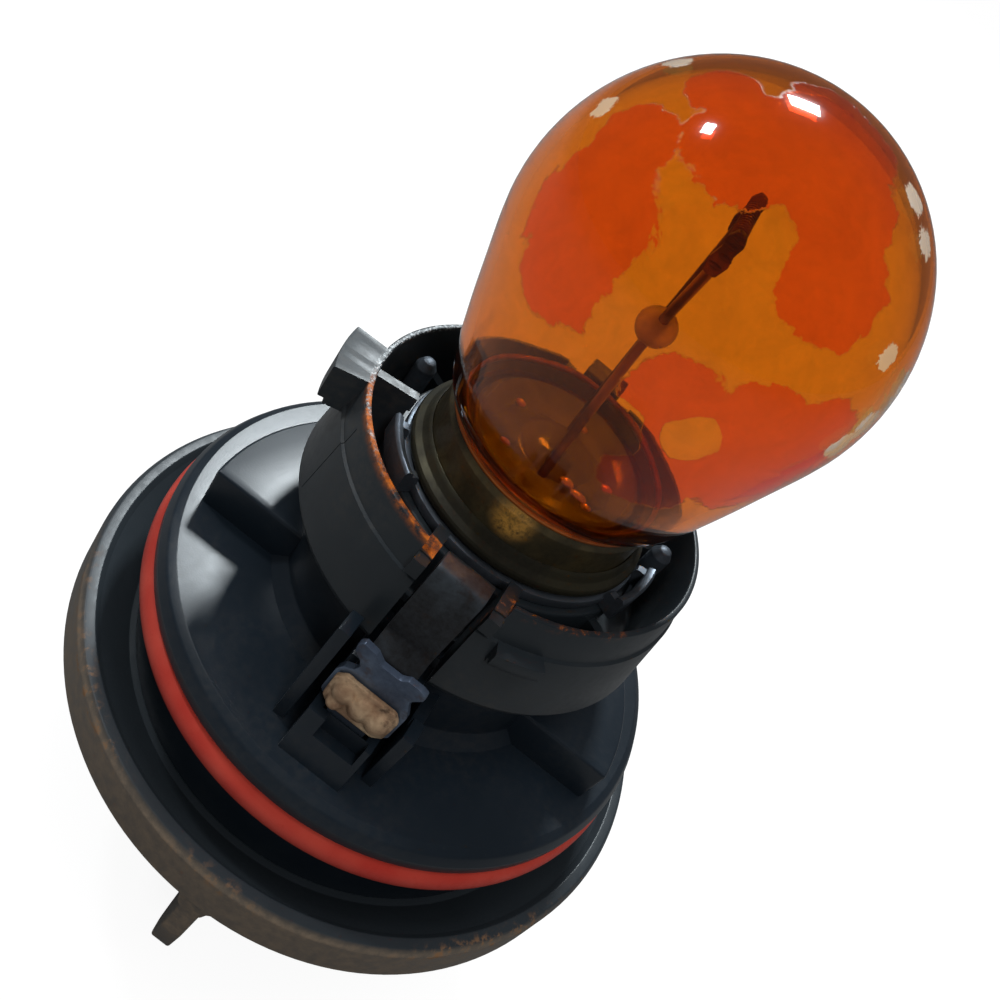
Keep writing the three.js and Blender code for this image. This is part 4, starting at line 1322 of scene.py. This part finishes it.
@dataclass
class RearHousing:
    """The flange, hub, grip fin and connector shroud, moulded as one piece."""

    flange_radius: float = field(default_factory=lambda: high("rear_housing").x - 0.1)
    flange_top: float = field(default_factory=lambda: high("rear_housing").z)
    flange_foot: float = -15.15
    floor: float = -14.05
    hub_radius: float = 11.2
    hub_foot: float = -28.4
    fin_half: float = 0.62
    mouth_y: float = field(default_factory=lambda: high("rear_housing").y)
    cavity_y: float = 12.0
    socket_z: float = -22.4
    half_width: float = 5.4
    half_height: float = 3.7
    wall: float = 1.3
    neck_radius: float = 14.8
    pin_x: float = 2.5
    pin_half: float = 0.85
    seal_radius: float = 6.6

    def flange(self) -> bpy.types.Object:
        """Model the turned flange with its rim and conical floor."""
        top, foot, r = self.flange_top, self.flange_foot, self.flange_radius
        return turned("housing_shell", rounded([
            (0.0, self.floor), (self.neck_radius + 0.35, self.floor, 0.1),
            (self.neck_radius + 1.3, -13.2, 0.5), (17.2, -12.15, 0.3), (17.5, top, 0.12), (18.1, top, 0.2),
            (r, top - 0.4, 0.3), (r + 0.1, foot + 0.4, 0.3),
            (r - 0.25, foot, 0.2), (0.0, foot)], 4, closed=False), 160)

    def hub(self) -> bpy.types.Object:
        """Model the round hub under the flange."""
        r = self.hub_radius
        return turned("hub", rounded([
            (0.0, self.flange_foot + 0.2), (r + 0.5, self.flange_foot + 0.2),
            (r, self.flange_foot - 0.8, 0.5),
            (r - 0.2, self.hub_foot, 0.9), (0.0, self.hub_foot)], 4, closed=False), 96)

    def shroud(self) -> list[bpy.types.Object]:
        """Model the connector shroud, its collar, latch nib and guide ribs."""
        w, h, z, y = self.half_width + self.wall, self.half_height + self.wall, self.socket_z, self.mouth_y
        body = prism("shroud", Plane.XZ, rounded([(-w, z - h, 0.5), (w, z - h, 0.5), (w, z + h - 1.1, 0.3),
                                                  (w - 1.1, z + h, 0.3), (1.1 - w, z + h, 0.3),
                                                  (-w, z + h - 1.1, 0.3)], 3), 4.0, y)
        collar = prism("collar", Plane.XZ, rounded([
            (-w - 0.5, z - h - 0.5, 0.6), (w + 0.5, z - h - 0.5, 0.6), (w + 0.5, z + h - 0.6, 0.4),
            (w - 0.6, z + h + 0.5, 0.4), (0.6 - w, z + h + 0.5, 0.4), (-w - 0.5, z + h - 0.6, 0.4)], 3),
                       y - 11, y - 9.6)
        latch = prism("latch", Plane.YZ, [
            (y - 7.5, z - h + 0.3), (y - 7.5, z - h - 1.3), (y - 6.7, z - h - 1.3), (y - 3.6, z - h),
            (y - 3.6, z - h + 0.3)], -1.7, 1.7)
        guides = [block("guide", (x - 0.5, y - 9.7, z - h - 0.7), (x + 0.5, y - 0.6, z - h + 0.3))
                  for x in (-3.6, 3.6)]
        return [soften(piece, 0.12, 2) for piece in (body, collar, latch, *guides)]

    def fin(self) -> list[bpy.types.Object]:
        """Model the grip fin and its flared root."""
        foot, r, half = self.flange_foot, self.hub_radius - 0.6, self.fin_half
        blade = prism("fin", Plane.YZ, rounded([(-r, foot + 0.2), (-18.1, foot + 0.2), (-18.15, -19.5, 2.0),
                                                (-17.6, -22.6, 2.0), (-15.6, -25.2, 2.0), (-r, -26.4)], 5),
                      -half, half)
        root = prism("fin_root", Plane.XZ, rounded([(-1.1, foot + 0.2), (-0.95, foot - 0.35, 0.3),
                                                    (-half, foot - 1.9, 0.8), (half, foot - 1.3, 0.8),
                                                    (0.8, foot - 0.5, 0.3), (1.35, foot + 0.2)], 4),
                     -18.1, -r)
        return [soften(blade, 0.15, 3), root]

    def cutters(self) -> list[bpy.types.Object]:
        """Return the connector's cavity, the potting well and the terminals' ways."""
        z, top = self.socket_z, self.floor
        pieces = [block("cavity", (-self.half_width, self.cavity_y, z - self.half_height),
                        (self.half_width, self.mouth_y + 1, z + self.half_height)),
                  turned("well", [(0.0, top - 2.4), (self.seal_radius, top - 2.4),
                                  (self.seal_radius, top + 1), (0.0, top + 1)], 64)]
        for side, y in ((-1, -3.0), (1, 4.0)):
            x0 = side * self.pin_x - self.pin_half - 0.12
            x1 = side * self.pin_x + self.pin_half + 0.12
            pieces.append(block("drop", (x0, y - 0.42, z - 0.52), (x1, y + 0.42, top + 1)))
            pieces.append(block("blade_way", (x0, y - 0.42, z - 0.52), (x1, self.cavity_y + 1, z + 0.52)))
        return pieces

    def build(self) -> None:
        """Model the housing and dress the potting."""
        shell = self.flange()
        fuse(shell, self.hub(), *self.shroud(), *self.fin())
        cut(shell, *self.cutters())
        plastic = FlangePlastic("housing_plastic", self.flange_radius, self.flange_top,
                                self.flange_foot).make()
        hand_over(shell, plastic, "black_plastic", "rear_housing")
        dress_node("terminal_seal", Powdery("potting_resin", srgb(44, 42, 40), 0.5).make())


# ------------------------------------------------------------------ studio
@dataclass
class SoftLight:
    """A rectangular lamp aimed at the object."""

    name: str
    azimuth: float
    elevation: float
    distance: float
    size: Point2
    power: float
    tint: Colour = (1.0, 1.0, 1.0)
    mirrored: bool = True

    def build(self, aim: Vector) -> None:
        """Place the lamp; azimuth 0 is +Y and grows towards +X, both angles in degrees."""
        azimuth, elevation = math.radians(self.azimuth), math.radians(self.elevation)
        level = math.cos(elevation)
        direction = Vector((math.sin(azimuth) * level, math.cos(azimuth) * level, math.sin(elevation)))
        data = bpy.data.lights.new(self.name, "AREA")
        data.shape = "RECTANGLE"
        data.size, data.size_y = self.size
        data.energy = self.power
        data.color = self.tint
        lamp = bpy.data.objects.new(self.name, data)
        lamp.location = aim + direction * self.distance
        lamp.rotation_euler = direction.to_track_quat("Z", "Y").to_euler()
        lamp.visible_glossy = self.mirrored
        lamp.visible_transmission = self.mirrored
        bpy.context.scene.collection.objects.link(lamp)


@dataclass
class Studio:
    """Floor, lights and camera."""

    floor_half: float = 30.0
    lens: float = 36.0
    sensor: float = 36.0
    shift_y: float = -0.025
    eye: Vector = field(default_factory=lambda: Vector((-3.1911, -41.6013, 36.529)) * MM)
    right: Vector = field(default_factory=lambda: Vector((0.7803, 0.3632, 0.5091)))
    up: Vector = field(default_factory=lambda: Vector((-0.6245, 0.4956, 0.6036)))
    ambient: float = 0.08
    wall_glow: float = 0.86
    wall_through_glass: float = 0.35
    sky_strength: float = 1.7
    sky_spread: float = 50.0
    lights: tuple[SoftLight, ...] = (
        SoftLight("rear_softbox", -12.0, 46.0, 0.5, (0.075, 0.06), 2.6, (0.88, 0.96, 1.0)),
        SoftLight("left_softbox", -76.0, 51.0, 0.5, (0.05, 0.035), 0.8, (0.92, 0.97, 1.0)),
        SoftLight("front_fill", 165.0, 50.0, 0.5, (0.1, 0.1), 0.7, mirrored=False),
    )

    def floor(self) -> None:
        """Lay a pale sheet under the lowest point of the object."""
        deselect()
        bpy.ops.mesh.primitive_grid_add(x_subdivisions=4, y_subdivisions=4, size=2 * self.floor_half,
                                        location=(0, 0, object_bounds()[0][2] - 0.0002))
        sheet = bpy.context.object
        bpy.ops.object.transform_apply(location=True, rotation=True, scale=True)
        sheet.name = "studio_floor"
        sheet.data.materials.append(Backdrop().make())
        sheet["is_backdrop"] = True

    def sky(self) -> None:
        """Light the room evenly, with walls that look as pale as the floor."""
        world = bpy.data.worlds.new("studio")
        world.use_nodes = True
        tree = world.node_tree
        dim = tree.nodes["Background"]
        dim.inputs["Color"].default_value = (1.0, 1.0, 1.0, 1.0)
        dim.inputs["Strength"].default_value = self.ambient
        shader = dim.outputs["Background"]
        path = tree.nodes.new("ShaderNodeLightPath")
        for ray, glow in (("Is Transmission Ray", self.wall_through_glass),
                          ("Is Camera Ray", self.wall_glow)):
            wall = tree.nodes.new("ShaderNodeBackground")
            wall.inputs["Strength"].default_value = glow
            wall.inputs["Color"].default_value = (1.0, 1.0, 1.0, 1.0)
            blend = tree.nodes.new("ShaderNodeMixShader")
            tree.links.new(path.outputs[ray], blend.inputs[0])
            tree.links.new(shader, blend.inputs[1])
            tree.links.new(wall.outputs["Background"], blend.inputs[2])
            shader = blend.outputs["Shader"]
        tree.links.new(shader, tree.nodes["World Output"].inputs["Surface"])
        bpy.context.scene.world = world

    def overhead(self) -> None:
        """Hang a very wide soft light straight above, which whitens the floor everywhere."""
        data = bpy.data.lights.new("overhead", "SUN")
        data.energy = self.sky_strength
        data.angle = math.radians(self.sky_spread)
        lamp = bpy.data.objects.new("overhead", data)
        lamp.visible_glossy = False
        lamp.visible_transmission = False
        bpy.context.scene.collection.objects.link(lamp)

    def camera(self) -> None:
        """Stand the camera in front of the lamp, rolled to its left."""
        data = bpy.data.cameras.new("camera")
        data.lens = self.lens
        data.sensor_width = self.sensor
        data.shift_y = self.shift_y
        data.clip_start = 0.001
        camera = bpy.data.objects.new("camera", data)
        right, up = self.right.normalized(), self.up.normalized()
        back = right.cross(up).normalized()
        turn = Matrix((right, back.cross(right), back)).transposed().to_4x4()
        camera.matrix_world = Matrix.Translation(self.eye) @ turn
        bpy.context.scene.collection.objects.link(camera)
        bpy.context.scene.camera = camera

    def build(self) -> None:
        """Set up the studio."""
        self.floor()
        self.sky()
        aim = Vector((0.0, 0.0, 0.005))
        for light in self.lights:
            light.build(aim)
        self.overhead()
        self.camera()
        bpy.context.scene.view_settings.view_transform = "Standard"


def main() -> None:
    """Build every sub-assembly around the frame."""
    logging.basicConfig(level=logging.INFO, format="%(name)s %(message)s")
    GlassBulb().build()
    FilamentMount().build()
    CapGroup().build()
    CarrierRing().build()
    finishes = ContactFinishes()
    ContactSet("front", 0.0, -1).build(finishes)
    ContactSet("rear", 180.0, 1).build(finishes)
    SealedBase().build()
    RearHousing().build()
    Studio().build()


if __name__ == "__main__":
    main()
